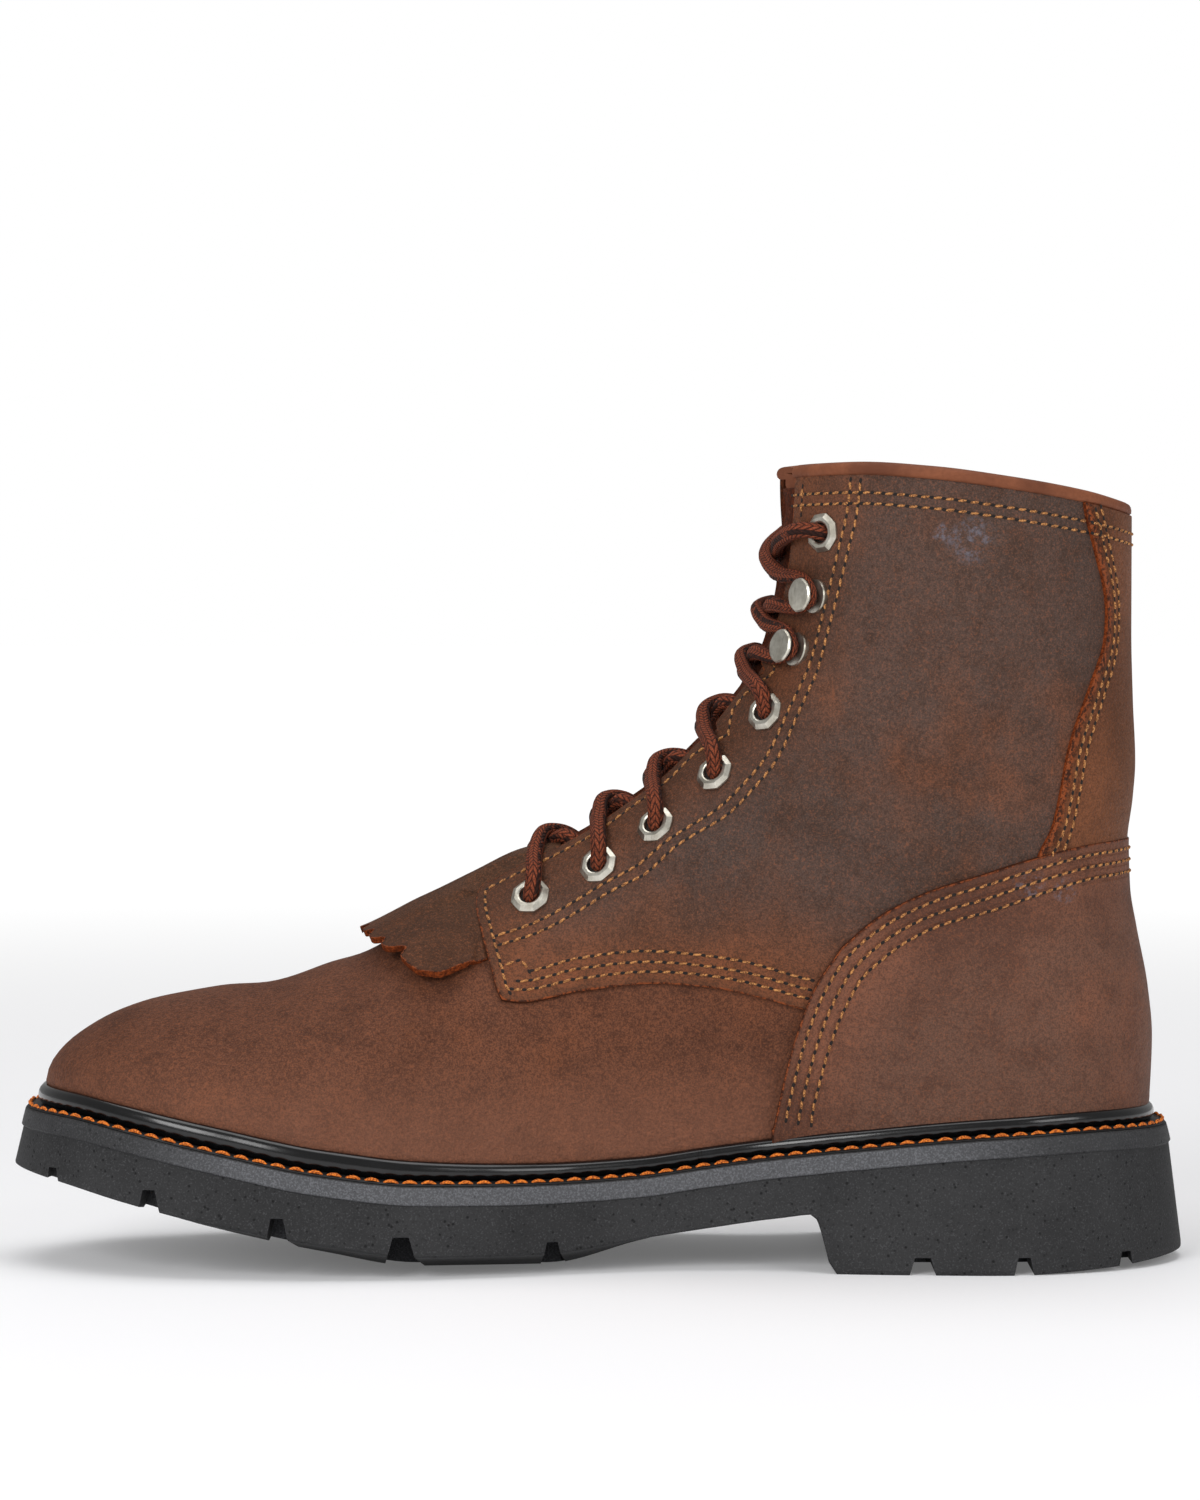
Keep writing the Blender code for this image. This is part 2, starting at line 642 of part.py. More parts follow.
def build_tongue():
    """Tongue behind the facings, crowned in the lacing gap, standing to the collar."""
    throat = LEVELS[THROAT_RING]
    levels = np.linspace(throat - 0.05, 1.0, 13)
    shares = np.linspace(-1, 1, 9)
    crown = np.clip(1 - (shares / 0.45) ** 2, 0, 1)
    grown = smooth_step(throat + 0.01, throat + 0.08, levels)
    face = TONGUE_CROWN * grown[:, None] * crown - (WALL + BINDING_THICK + 2 * GAP)
    outer = front_strip(levels, shares, TONGUE_MARGIN, face)
    inner = front_strip(levels, shares, TONGUE_MARGIN, face - TONGUE_THICK)
    keep = np.ones((len(levels) - 1, len(shares) - 1), dtype=bool)
    points, faces = shell(outer, inner, keep, closed=False)
    add_piece("tongue", make_mesh("tongue", points, faces, "tongue_leather"))


def kiltie_point(angle, x, offset):
    """Point over the vamp by its angle round the ridge, in degrees, and its length."""
    side = MEDIAL if angle < 0 else LATERAL
    ridge = ridge_height(x)
    z = ridge - (ridge - widest_line(x)) * (1 - math.cos(math.radians(angle)))
    return skin_point(x, min(z, ridge - 0.05), side, offset)


def build_kiltie():
    """Fringe flap over the vamp: scalloped and lifted in front, a strip in the lacing gap behind."""
    edge = table_curve(KILTIE_FRONT, "angle", "x")
    angles = np.linspace(-KILTIE_ANGLE, KILTIE_ANGLE, KILTIE_COLUMNS)
    ends = np.linspace(0, 1, 4) ** 1.2
    strip = np.linspace(KILTIE_REACH[0], KILTIE_REACH[1], 4)[1:]
    outer, inner = [], []
    for row in range(len(ends) + len(strip)):
        top, under = [], []
        for angle in angles:
            nose = edge(abs(angle)) + SCALLOP_DEPTH * abs(math.sin(math.pi * angle / SCALLOP_ANGLE))
            if row < len(ends):
                x = nose + (KILTIE_REACH[0] - nose) * ends[row]
                raised = KILTIE_LIFT * (1 - ends[row]) ** 1.6
            else:
                x = strip[row - len(ends)]
                raised = 0.0
            top.append(kiltie_point(angle, x, GAP + raised + KILTIE_THICK))
            under.append(kiltie_point(angle, x, GAP + raised))
        outer.append(top)
        inner.append(under)
    keep = np.ones((len(outer) - 1, len(angles) - 1), dtype=bool)
    wide = np.abs((angles[:-1] + angles[1:]) / 2) > KILTIE_STRIP
    keep[len(ends) - 1:, wide] = False
    points, faces = shell(np.array(outer), np.array(inner), keep, closed=False)
    add_piece("kiltie", make_mesh("kiltie", points, faces, "oiled_leather"))


def build_welt():
    """Welt: a flat ledge on the sole with a round bead against the upper."""
    ledge_top = WELT_SEAT + WELT_THICK
    centre = ledge_top + BEAD_RADIUS - 0.2
    section = [(LEDGE_INNER, WELT_SEAT, 0.0), (LEDGE_REACH, WELT_SEAT, HEEL_EXTRA),
               (LEDGE_REACH, ledge_top, HEEL_EXTRA)]
    for turn in np.radians((-70, -20, 30, 90, 150, 200, 250)):
        section.append((BEAD_OFFSET + BEAD_RADIUS * math.cos(turn),
                        centre + BEAD_RADIUS * math.sin(turn), HEEL_EXTRA))
    section.append((LEDGE_INNER, ledge_top, 0.0))
    loops = [at_height(outline_loop(out_by, extra), up_by) for out_by, up_by, extra in section]
    points, faces = swept(np.stack(loops, axis=1), closed=True)
    add_piece("welt", make_mesh("welt", points, faces, "welt_rubber"))


def both_edges(loop):
    """Medial and lateral halves of a plan loop, each from toe to heel."""
    medial = loop[:OUTLINE_COLUMNS + 1]
    lateral = np.concatenate([loop[:1], loop[:OUTLINE_COLUMNS - 1:-1]])
    return medial, lateral


def build_insole():
    """Insole board on the sole, inside the foot of the upper."""
    medial, lateral = both_edges(outline_loop(INSOLE_INSET))
    medial, lateral = medial[1:-1], lateral[1:-1]
    top = WELT_SEAT + INSOLE_THICK
    corners = ((medial, WELT_SEAT), (lateral, WELT_SEAT), (lateral, top), (medial, top))
    sections = np.stack([at_height(line, height) for line, height in corners], axis=1)
    points, faces = swept(sections, closed=False)
    add_piece("insole", make_mesh("insole", points, faces, "footbed"))


def sole_sections():
    """Cross sections of the outsole from toe to heel, each a closed run of points."""
    reach = (FRONT[0].x - SOLE_REACH, BACK[0].x + HEEL_EXTRA + SOLE_REACH)
    angles = np.linspace(0.07, math.pi - 0.07, SOLE_STATIONS)
    spaced = (reach[0] + reach[1]) / 2 - (reach[1] - reach[0]) / 2 * np.cos(angles)
    clear = [x for x in spaced if min(abs(x - b) for b in BREAST) > 2.5]
    stations = np.sort(np.concatenate([clear, BREAST]))
    edge, middle = table_curve(SOLE, "x", "edge"), table_curve(SOLE, "x", "middle")

    def side_points(x, out_by):
        medial, lateral = both_edges(outline_loop(out_by, HEEL_EXTRA))
        place = np.interp(x, reach, (medial[0, 0], medial[-1, 0]))
        return (place, np.interp(place, medial[:, 0], medial[:, 1]),
                np.interp(place, lateral[:, 0], lateral[:, 1]))

    end_share = np.abs(stations - sum(reach) / 2) / ((reach[1] - reach[0]) / 2)
    end_flare = np.where(stations < 0, SOLE_FLARE["toe"], SOLE_FLARE["heel"])
    flare = SOLE_FLARE["side"] + (end_flare - SOLE_FLARE["side"]) * end_share ** 8
    wider = HEEL_WIDER[2] * smooth_step(HEEL_WIDER[0], HEEL_WIDER[1], stations) * (1 - end_share ** 8)
    sections = []
    for x, slope, extra in zip(stations, flare, wider):
        top, bottom = float(sole_top(x)), float(edge(x))
        depth = top - bottom
        band = top - BAND_HEIGHT
        levels = ((SOLE_REACH, top), (SOLE_REACH + 1.5 * BAND_BEVEL, band + BAND_BEVEL),
                  (SOLE_REACH + 0.7 * BAND_BEVEL, band),
                  (SOLE_REACH + BAND_BEVEL + slope * depth + extra, bottom))
        medial, lateral = [], []
        for out_by, z in levels:
            place, near, far = side_points(x, out_by)
            medial.append((place, near, z))
            lateral.append((place, far, z))
        place, near, far = side_points(x, levels[-1][0])
        centre, half = (near + far) / 2, (far - near) / 2
        tread = [(place, centre + half * share, float(middle(x))) for share in (FLAT_SHARE, -FLAT_SHARE)]
        sections.append(lateral + tread + medial[::-1])
    return np.array(sections)


def build_outsole():
    """Outsole: banded side, toe spring, arch, heel breast, and grooves that leave the lugs."""
    points, faces = swept(sole_sections(), closed=False)
    sole = add_piece("outsole", make_mesh("outsole", points, faces, "sole_rubber"))
    edge = table_curve(SOLE, "x", "edge")
    points, faces = [], []
    for groove in GROOVES:
        foot = float(edge(groove.x))
        roof = foot + groove.depth
        mouth, half = groove.width * 0.75, groove.width / 2
        outline = ((groove.x - mouth, -FLOOR_CLEAR), (groove.x + mouth, -FLOOR_CLEAR),
                   (groove.x + mouth, foot), (groove.x + half, roof),
                   (groove.x - half, roof), (groove.x - mouth, foot))
        for span in ((ACROSS[0], -GROOVE_SPINE), (GROOVE_SPINE, ACROSS[1])):
            more_points, more_faces = prism(outline, span)
            faces += [tuple(len(points) + i for i in face) for face in more_faces]
            points += list(more_points)
    carve(sole, add_guide("groove_cutter", points, faces), "DIFFERENCE")


def facing_frame(x, z, side, offset):
    """Placing matrix on the outside of the quarter, its own Z along the outward normal."""
    normal = Vector(skin_normal(x, z, side))
    upward = Vector((0.35, 0.0, 0.94))
    across = upward.cross(normal).normalized()
    turn = Matrix((across, normal.cross(across), normal)).transposed().to_4x4()
    place = skin_point(x, z, side, LAYER_GAP + QUARTER_THICK + offset) * MM
    return Matrix.Translation(Vector(place)) @ turn


def build_lacing_metal():
    """Eyelets with a bevelled flange, and spool hooks, up both facings."""
    meshes = {kind: make_mesh(kind, *turned(profile, METAL_SIDES), "nickel")
              for kind, profile in (("eyelet", EYELET_RIM), ("hook", SPOOL))}
    for name, side in SIDES.items():
        count = dict.fromkeys(meshes, 0)
        for row in LACING:
            count[row.kind] += 1
            label = f"{row.kind}_{name}_{count[row.kind]}"
            add_piece(label, meshes[row.kind], facing_frame(row.x, row.z, side, METAL_SEAT))


def ridge_place(x, z):
    """Arc length along the front profile nearest to a point of the side view."""
    return RIDGE_ARC[np.argmin(np.hypot(RIDGE_X - x, RIDGE_Z - z))]


def ridge_frame(arc):
    """Point and outward direction of the front profile at an arc length."""
    ends = [np.array([np.interp(a, RIDGE_ARC, RIDGE_X), np.interp(a, RIDGE_ARC, RIDGE_Z)])
            for a in (arc - 3.0, arc, arc + 3.0)]
    run = ends[2] - ends[0]
    return ends[1], np.array([-run[1], run[0]]) / np.linalg.norm(run)


def gap_point(arc, share, offset):
    """Point over the lacing gap: share -1 and 1 are its medial and lateral edges."""
    (x, z), outward = ridge_frame(arc)
    side = MEDIAL if share < 0 else LATERAL
    target = abs(share) * lacing_gap(z)
    depths = np.linspace(0.0, 14.0, 200)
    widths = half_width(x - outward[0] * depths, z - outward[1] * depths, side)
    depth = np.interp(target, np.maximum.accumulate(widths), depths) - offset
    return np.array([x - outward[0] * depth, side * target, z - outward[1] * depth])


def cord_points(lower, upper, side):
    """Path of one lace run: off a lower eyelet, over the facing edge, across, to the far edge."""
    low, high = ridge_place(lower.x, lower.z), ridge_place(upper.x, upper.z)

    def over_gap(row):
        return gap_point(low + (high - low) * row.climb, side * row.across, row.height)

    if lower.kind == "hook":
        start = over_gap(HOOK_START)
    else:
        start = skin_point(lower.x, lower.z, side, OVER_FACING + 3 * GAP + EYELET_HEIGHT)
    return [start] + [over_gap(row) for row in LACE_RUN]


def tube(path):
    """Points and faces of a round cord along a smooth path."""
    path = np.array(path)
    share = np.linspace(0, 1, len(path))
    fine = np.linspace(0, 1, CORD_STATIONS)
    smooth = np.stack([smooth_curve(share, path[:, axis])(fine) for axis in range(3)], axis=1)
    run = np.gradient(smooth, axis=0)
    run /= np.linalg.norm(run, axis=1, keepdims=True)
    across = np.cross(run, np.array([0.5, 0.0, 0.87]))
    across /= np.linalg.norm(across, axis=1, keepdims=True)
    other = np.cross(run, across)
    turns = np.linspace(0, 2 * math.pi, CORD_SIDES, endpoint=False)
    sections = np.stack([smooth + LACE_RADIUS * (across * math.cos(t) + other * math.sin(t))
                         for t in turns], axis=1)
    return swept(sections, closed=False)


def build_laces():
    """Each crossing of the lace, its two runs joined where they cross."""
    for number, (lower, upper) in enumerate(zip(LACING, LACING[1:]), start=1):
        runs = [tube(cord_points(lower, upper, side)) for side in SIDES.values()]
        name = f"lace_crossing_{number}"
        crossing = add_piece(name, make_mesh(name, *runs[0], "lace_cord"))
        carve(crossing, add_guide(name + "_far_run", *runs[1]), "UNION")


BOOT = bpy.data.objects.new("boot", None)
bpy.context.collection.objects.link(BOOT)

build_outsole()
build_welt()
build_insole()
build_upper()
build_overlays()
build_binding()
build_tongue()
build_kiltie()
build_lacing_metal()
build_laces()
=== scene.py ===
# %% [markdown]
# # Dressing a kiltie work boot
# A lacer boot is a last wrapped in leather: a thin wall closed over the foot, with panels sewn on top of
# it, standing on a welt and a lugged rubber sole. The solids of the frame already have the true sizes.
# This lesson gives each of them the surface of the real thing: oiled leather with raw cut edges, gold
# thread, a braided lace, pressed metal and moulded rubber.

# %% Load the frame
import math
from collections import namedtuple

import bpy
import numpy as np
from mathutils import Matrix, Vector


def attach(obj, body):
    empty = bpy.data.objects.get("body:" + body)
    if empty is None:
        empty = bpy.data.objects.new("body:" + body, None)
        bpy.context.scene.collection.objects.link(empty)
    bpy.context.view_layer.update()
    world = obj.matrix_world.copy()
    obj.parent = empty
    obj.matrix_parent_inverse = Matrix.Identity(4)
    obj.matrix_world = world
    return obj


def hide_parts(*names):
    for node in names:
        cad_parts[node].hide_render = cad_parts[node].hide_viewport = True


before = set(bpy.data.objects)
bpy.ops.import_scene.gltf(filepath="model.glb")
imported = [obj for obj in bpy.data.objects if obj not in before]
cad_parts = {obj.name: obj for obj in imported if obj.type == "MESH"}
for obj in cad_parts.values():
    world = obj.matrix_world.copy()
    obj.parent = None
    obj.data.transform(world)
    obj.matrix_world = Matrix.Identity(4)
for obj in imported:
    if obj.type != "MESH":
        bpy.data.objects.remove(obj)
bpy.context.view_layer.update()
MM = 0.001
MEDIAL, LATERAL = -1, 1
SIDES = {"medial": MEDIAL, "lateral": LATERAL}

# %% [markdown]
# ## Camera, floor and light
# The photograph looks square at the inner side of the boot from a metre and a half away, a little above
# the instep. A long lens from that spot keeps the boot's lines nearly parallel. The camera is tipped down
# instead of shifted, so that it also frames the boot when it is moved to another side. Three large lamps
# and dim walls give a soft light that still models the leather. The walls themselves look white, as in a
# packshot: the world is brighter for the rays that come straight from the camera.

# %% Set the camera
PHOTO_HEIGHT = 1500
FOCAL_PIXELS = 5716
SENSOR = 36.0
CAMERA_PLACE = (0.0002, -1.5, 0.2)
CAMERA_TIP = math.radians(2.56)

camera = bpy.data.objects.new("camera", bpy.data.cameras.new("camera"))
bpy.context.collection.objects.link(camera)
camera.data.sensor_width = SENSOR
camera.data.lens = SENSOR * FOCAL_PIXELS / PHOTO_HEIGHT
camera.location = CAMERA_PLACE
camera.rotation_euler = (math.pi / 2 - CAMERA_TIP, 0.0, 0.0)
bpy.context.scene.camera = camera
print("camera: lens", round(camera.data.lens, 1), "mm")

# %% Hang the lamps
Lamp = namedtuple("Lamp", "name place size watts")
LAMPS = (
    Lamp("lamp_left", (-0.9, -1.7, 1.0), 1.0, 22.0),
    Lamp("lamp_right", (1.2, -1.2, 0.8), 0.8, 7.5),
    Lamp("lamp_top", (0.0, 0.1, 1.7), 1.4, 14.5),
)
LAMP_TARGET = Vector((0.0, 0.0, 0.08))
WALL_LIGHT, WALL_SEEN = 0.33, 1.0

for lamp in LAMPS:
    light = bpy.data.objects.new(lamp.name, bpy.data.lights.new(lamp.name, "AREA"))
    bpy.context.collection.objects.link(light)
    light.data.size = lamp.size
    light.data.energy = lamp.watts
    light.location = lamp.place
    light.rotation_euler = (LAMP_TARGET - light.location).to_track_quat("-Z", "Y").to_euler()

world = bpy.data.worlds.new("white_walls")
bpy.context.scene.world = world
world.use_nodes = True
nodes, links = world.node_tree.nodes, world.node_tree.links
nodes["Background"].inputs["Color"].default_value = (1.0, 1.0, 1.0, 1.0)
rays, walls = nodes.new("ShaderNodeLightPath"), nodes.new("ShaderNodeMapRange")
walls.inputs["To Min"].default_value = WALL_LIGHT
walls.inputs["To Max"].default_value = WALL_SEEN
links.new(rays.outputs["Is Camera Ray"], walls.inputs["Value"])
links.new(walls.outputs["Result"], nodes["Background"].inputs["Strength"])
bpy.context.scene.view_settings.view_transform = "Standard"
print("lamps:", len(LAMPS))

# %% [markdown]
# ## The shape of the last
# Every leather piece lies on one skin, the surface of the last the boot was made on. Its side view, plan
# and shaft are the frame's own short tables. A point of the skin is named by two numbers: its level, from
# 0 at the welt to 1 at the collar, and its turn round the boot, from 0 at the front over pi at the back.
# Below level 0 the leather turns in under the foot. A sheet that is laid out in those two numbers bends
# with the boot.

# %% Tables of the last, in millimetres
FRONT = ((-145.2, 44.0), (-144.4, 49.5), (-142.0, 53.8), (-136.7, 58.8), (-126.0, 64.9), (-115.0, 68.4),
         (-100.0, 70.8), (-84.0, 72.9), (-70.0, 77.0), (-57.7, 82.0), (-45.0, 89.5), (-31.0, 98.0),
         (-21.0, 104.4), (-6.0, 111.5), (9.0, 121.0), (20.5, 130.2), (32.0, 143.2), (39.0, 153.0),
         (43.8, 164.0), (46.5, 177.0), (47.8, 190.0), (48.5, 209.0))
BACK = ((141.8, 40.0), (142.5, 58.0), (141.3, 71.0), (138.4, 86.0), (136.6, 97.0), (136.2, 109.0),
        (137.6, 121.0), (138.2, 130.0), (137.5, 146.0), (137.0, 165.0), (137.0, 200.0))
COLLAR = ((45.0, 205.6), (56.0, 206.8), (67.0, 207.2), (85.0, 206.0), (103.0, 203.6), (125.0, 199.6),
          (140.0, 195.4))
Plan = namedtuple("Plan", "x axis medial lateral")
PLAN = (Plan(-147.0, -5.0, 34.0, 35.0), Plan(-130.0, -5.0, 36.5, 38.0), Plan(-115.0, -4.5, 38.5, 39.0),
        Plan(-95.0, -3.0, 42.5, 42.5), Plan(-75.0, -1.5, 46.0, 46.5), Plan(-55.0, 0.0, 46.5, 47.5),
        Plan(-30.0, 0.0, 41.5, 46.0), Plan(-5.0, 0.0, 33.5, 41.0), Plan(20.0, 0.0, 28.5, 36.5),
        Plan(45.0, 0.0, 28.0, 34.0), Plan(75.0, 0.0, 31.0, 33.0), Plan(100.0, 0.0, 32.5, 32.5),
        Plan(143.0, 0.0, 33.0, 33.0))
Shaft = namedtuple("Shaft", "z width gap")
SHAFT = (Shaft(60.0, 34.5, 8.0), Shaft(90.0, 34.0, 9.0), Shaft(120.0, 35.0, 9.0), Shaft(150.0, 37.0, 11.0),
         Shaft(175.0, 38.0, 14.0), Shaft(207.0, 38.5, 15.5))
Sole = namedtuple("Sole", "x top edge middle")
SOLE = (Sole(-153.0, 40.4, 25.6, 24.6), Sole(-137.0, 39.6, 22.8, 21.0), Sole(-122.0, 37.0, 19.3, 16.4),
        Sole(-101.0, 32.6, 14.6, 10.4), Sole(-71.0, 26.6, 9.2, 3.8), Sole(-48.0, 24.0, 6.0, 0.0),
        Sole(-14.0, 23.3, 5.6, 0.0), Sole(10.0, 24.2, 8.6, 5.6), Sole(28.0, 26.6, 11.2, 9.7),
        Sole(45.0, 28.9, 13.7, 12.7), Sole(55.4, 30.2, 15.2, 14.5), Sole(60.4, 30.8, 0.0, 0.0),
        Sole(104.0, 34.8, 0.0, 0.0), Sole(130.0, 35.8, 1.0, 0.8), Sole(153.0, 35.2, 2.8, 2.4))
TUCK = ((-2.0, 5.2), (1.0, 4.0), (2.0, 2.4), (3.0, 1.1), (4.0, 0.35), (5.0, 0.0))
BEAD_LIFT = ((-140.0, 1.5), (-95.0, 2.0), (-60.0, 1.8), (-30.0, 0.8), (0.0, 0.4), (60.0, 0.4), (140.0, 0.6))
SHAFT_BLEND, INSTEP_BLEND, SHAFT_ROUND = (55.0, 110.0), (-25.0, 35.0), (44.0, 80.0)
TOE_ROUND, HEEL_ROUND, BULGE = 45.0, 43.0, 7.2
RIDGE_SAMPLES = 900


def arc_of(points):
    """Distance run along a line at each of its points, from 0."""
    return np.concatenate([[0], np.cumsum(np.linalg.norm(np.diff(points, axis=0), axis=1))])


def smooth_curve(xs, ys):
    """Monotone cubic through the points, held level past both ends."""
    xs, ys = np.asarray(xs, float), np.asarray(ys, float)
    step = np.diff(xs)
    slope = np.diff(ys) / step
    tangent = np.concatenate([slope[:1], np.zeros(len(xs) - 2), slope[-1:]])
    for i in range(1, len(xs) - 1):
        if slope[i - 1] * slope[i] > 0:
            tangent[i] = 2 * slope[i - 1] * slope[i] / (slope[i - 1] + slope[i])

    def value(x):
        x = np.clip(x, xs[0], xs[-1])
        i = np.clip(np.searchsorted(xs, x, side="right") - 1, 0, len(step) - 1)
        t = (x - xs[i]) / step[i]
        start = (ys[i] * (1 + 2 * t) + tangent[i] * step[i] * t) * (1 - t) ** 2
        return start + (ys[i + 1] * (3 - 2 * t) + tangent[i + 1] * step[i] * (t - 1)) * t * t

    return value


def columns_of(rows, key, value):
    """Smooth curve of one column of a table against another."""
    return smooth_curve([row[key] for row in rows], [row[value] for row in rows])


def smooth_step(low, high, value):
    t = np.clip((value - low) / (high - low), 0.0, 1.0)
    return t * t * (3 - 2 * t)


def round_over(depth, reach):
    """Quarter round from 0 at the silhouette to 1 at the given depth behind it."""
    return np.sqrt(1.0 - (1.0 - np.clip(depth / reach, 0.0, 1.0)) ** 2)


axis_at, medial_width, lateral_width = (columns_of(PLAN, 0, i) for i in (1, 2, 3))
shaft_width, lacing_gap = (columns_of(SHAFT, 0, i) for i in (1, 2))
sole_top, sole_edge, sole_middle = (columns_of(SOLE, 0, i) for i in (1, 2, 3))
collar_height, ridge_height = columns_of(COLLAR, 0, 1), columns_of(FRONT, 0, 1)
front_line, back_line, tuck_inset = columns_of(FRONT, 1, 0), columns_of(BACK, 1, 0), columns_of(TUCK, 0, 1)
bead_lift = columns_of(BEAD_LIFT, 0, 1)
RIDGE_X = np.linspace(FRONT[0][0], FRONT[-1][0], RIDGE_SAMPLES)
RIDGE_Z = ridge_height(RIDGE_X)
RIDGE_ARC = arc_of(np.stack([RIDGE_X, RIDGE_Z], axis=1))
print("last:", round(RIDGE_ARC[-1]), "mm along its front ridge")

# %% Points of the skin
HEEL_STEP = (36.0, 58.0)
BACK_POWER, WELT_POWER, COLLAR_POWER = 1.5, 2, 6
NUDGE = 0.002


def widest_line(x):
    """Height of the line just above the welt where the upper is at its plan width."""
    return sole_top(x) + BULGE


def half_width(x, z, side):
    """Half width of the lasted boot at a point of its side view."""
    plan = np.where(side < 0, medial_width(x), lateral_width(x))
    width = plan + (shaft_width(z) - plan) * smooth_step(*SHAFT_BLEND, z)
    ridge = ridge_height(x)
    vamp = round_over(x - FRONT[0][0], TOE_ROUND)
    vamp = vamp * round_over(ridge - z, np.maximum(ridge - widest_line(x), 1.0))
    front, back = front_line(z), back_line(z)
    leg = round_over(x - front, np.clip((back - front) / 2, *SHAFT_ROUND))
    nose = vamp + (leg - vamp) * smooth_step(*INSTEP_BLEND, x)
    return width * nose * round_over(back - x, HEEL_ROUND)


def ring_ends(level):
    """Front and back points, x and z, of the nearly level ring round the boot."""
    toe, top = np.interp((widest_line(FRONT[0][0]), COLLAR[0][1]), RIDGE_Z, RIDGE_ARC)
    place = toe + (top - toe) * level
    low, high = widest_line(BACK[0][0]), collar_height(BACK[-1][0])
    back_z = low + (high - low) * np.maximum(level, 0.0) ** BACK_POWER
    front_x, front_z = (np.interp(place, RIDGE_ARC, ridge) for ridge in (RIDGE_X, RIDGE_Z))
    return front_x, front_z, back_line(back_z), back_z


def ring_height(level, x):
    """Height of a ring at a length x: level, with the welt's dip and the collar's rise."""
    front_x, front_z, back_x, back_z = ring_ends(level)
    share = np.clip((x - front_x) / (back_x - front_x), 0.0, 1.0)

    def bowed(line):
        return line(x) - line(front_x) - (line(back_x) - line(front_x)) * share

    straight = front_z + (back_z - front_z) * share
    dip, rise = bowed(widest_line), bowed(collar_height)
    return straight + dip * (1 - level) ** WELT_POWER + rise * level ** COLLAR_POWER


def bare_skin(level, turn):
    """Point of the last itself, in millimetres, by level and turn."""
    turn = (turn + math.pi) % (2 * math.pi) - math.pi
    side = np.where(turn < 0, MEDIAL, LATERAL)
    ring = np.maximum(level, 0.0)
    front_x, _, back_x, _ = ring_ends(ring)
    x = front_x + (back_x - front_x) * (1 - np.cos(turn)) / 2
    z = ring_height(ring, x)
    return np.stack([x, axis_at(x) + side * half_width(x, z, side), z], axis=-1)


def unit(vectors):
    return vectors / np.linalg.norm(vectors, axis=-1, keepdims=True)


def welt_line(turn, reach, height, heel_extra=0.0):
    """Point round the boot's foot: out from the widest line, up from the sole's top."""
    zero = np.zeros_like(turn)
    run = bare_skin(zero, turn + NUDGE) - bare_skin(zero, turn - NUDGE)
    outward = unit(np.stack([-run[..., 1], run[..., 0], zero], axis=-1))
    base = bare_skin(zero, turn)
    moved = base + outward * (reach + heel_extra * smooth_step(*HEEL_STEP, base[..., 0]))[..., None]
    moved[..., 2] = sole_top(moved[..., 0]) + height
    return moved


def tucked_skin(level, turn):
    """The last, and below level 0 the leather's turn under the foot."""
    height = BULGE * (1 + np.minimum(level, 0.0))
    lift = bead_lift(bare_skin(np.zeros_like(turn), turn)[..., 0])
    under = welt_line(turn, -tuck_inset(height - lift), height)
    return np.where((level < 0)[..., None], under, bare_skin(level, turn))


sample = bare_skin(np.array([0.0, 0.5, 1.0]), np.array([-math.pi / 2, -math.pi / 2, math.pi]))
print("skin samples, mm:", np.round(sample, 1).tolist())

# %% [markdown]
# ## Creases
# Oiled leather never lies quite flat. The boot in the photograph is new, so its creases are shallow: a
# few soft troughs with a ridge on both sides across the vamp, where the toes bend, round the ankle and
# behind the eyelets. Each is placed in the boot's own sizes and moves every layer of the skin together.

# %% Place the creases
Crease = namedtuple("Crease", "x z lean length width depth side")
CREASES = (
    Crease(-72.0, 58.0, 62.0, 26.0, 6.5, 0.88, 0), Crease(-58.0, 50.0, 70.0, 24.0, 5.5, 0.72, 0),
    Crease(-44.0, 60.0, 78.0, 26.0, 6.0, 0.80, 0), Crease(-96.0, 60.0, 50.0, 20.0, 8.0, 0.56, 0),
    Crease(22.0, 96.0, -32.0, 22.0, 8.0, 0.96, 0), Crease(46.0, 112.0, -20.0, 28.0, 9.0, 1.12, 0),
    Crease(64.0, 128.0, -8.0, 30.0, 11.0, 1.12, 0), Crease(88.0, 122.0, 12.0, 26.0, 9.0, 0.96, 0),
    Crease(104.0, 142.0, 64.0, 24.0, 9.0, 0.96, 0), Crease(82.0, 168.0, 74.0, 34.0, 12.0, 0.96, 0),
    Crease(66.0, 150.0, 58.0, 22.0, 8.0, 0.64, MEDIAL), Crease(100.0, 66.0, 12.0, 26.0, 9.0, 0.56, 0),
)
CREASE_RIDGE = 2.2


def creased(points):
    """How far the leather stands out of the last at points of it, in millimetres."""
    out = np.zeros(points.shape[:-1])
    for row in CREASES:
        lean = math.radians(row.lean)
        x, z = points[..., 0] - row.x, points[..., 2] - row.z
        along = (x * math.cos(lean) + z * math.sin(lean)) / row.length
        across = (z * math.cos(lean) - x * math.sin(lean)) / row.width
        shape = (CREASE_RIDGE * across ** 2 - 1) * np.exp(-across ** 2 - along ** 4)
        here = 1.0 if row.side == 0 else (np.sign(points[..., 1]) == row.side)
        out += row.depth * shape * here
    return out


def skin(level, turn, offset=0.0):
    """Point over the last by level and turn, moved out along its normal, creases and all."""
    level, turn = np.broadcast_arrays(np.asarray(level, float), np.asarray(turn, float))
    base = tucked_skin(level, turn)
    run = tucked_skin(level, turn + NUDGE) - tucked_skin(level, turn - NUDGE)
    rise = tucked_skin(level + NUDGE, turn) - tucked_skin(level - NUDGE, turn)
    return base + unit(np.cross(rise, run)) * (offset + creased(base))[..., None]


print("creases:", len(CREASES))

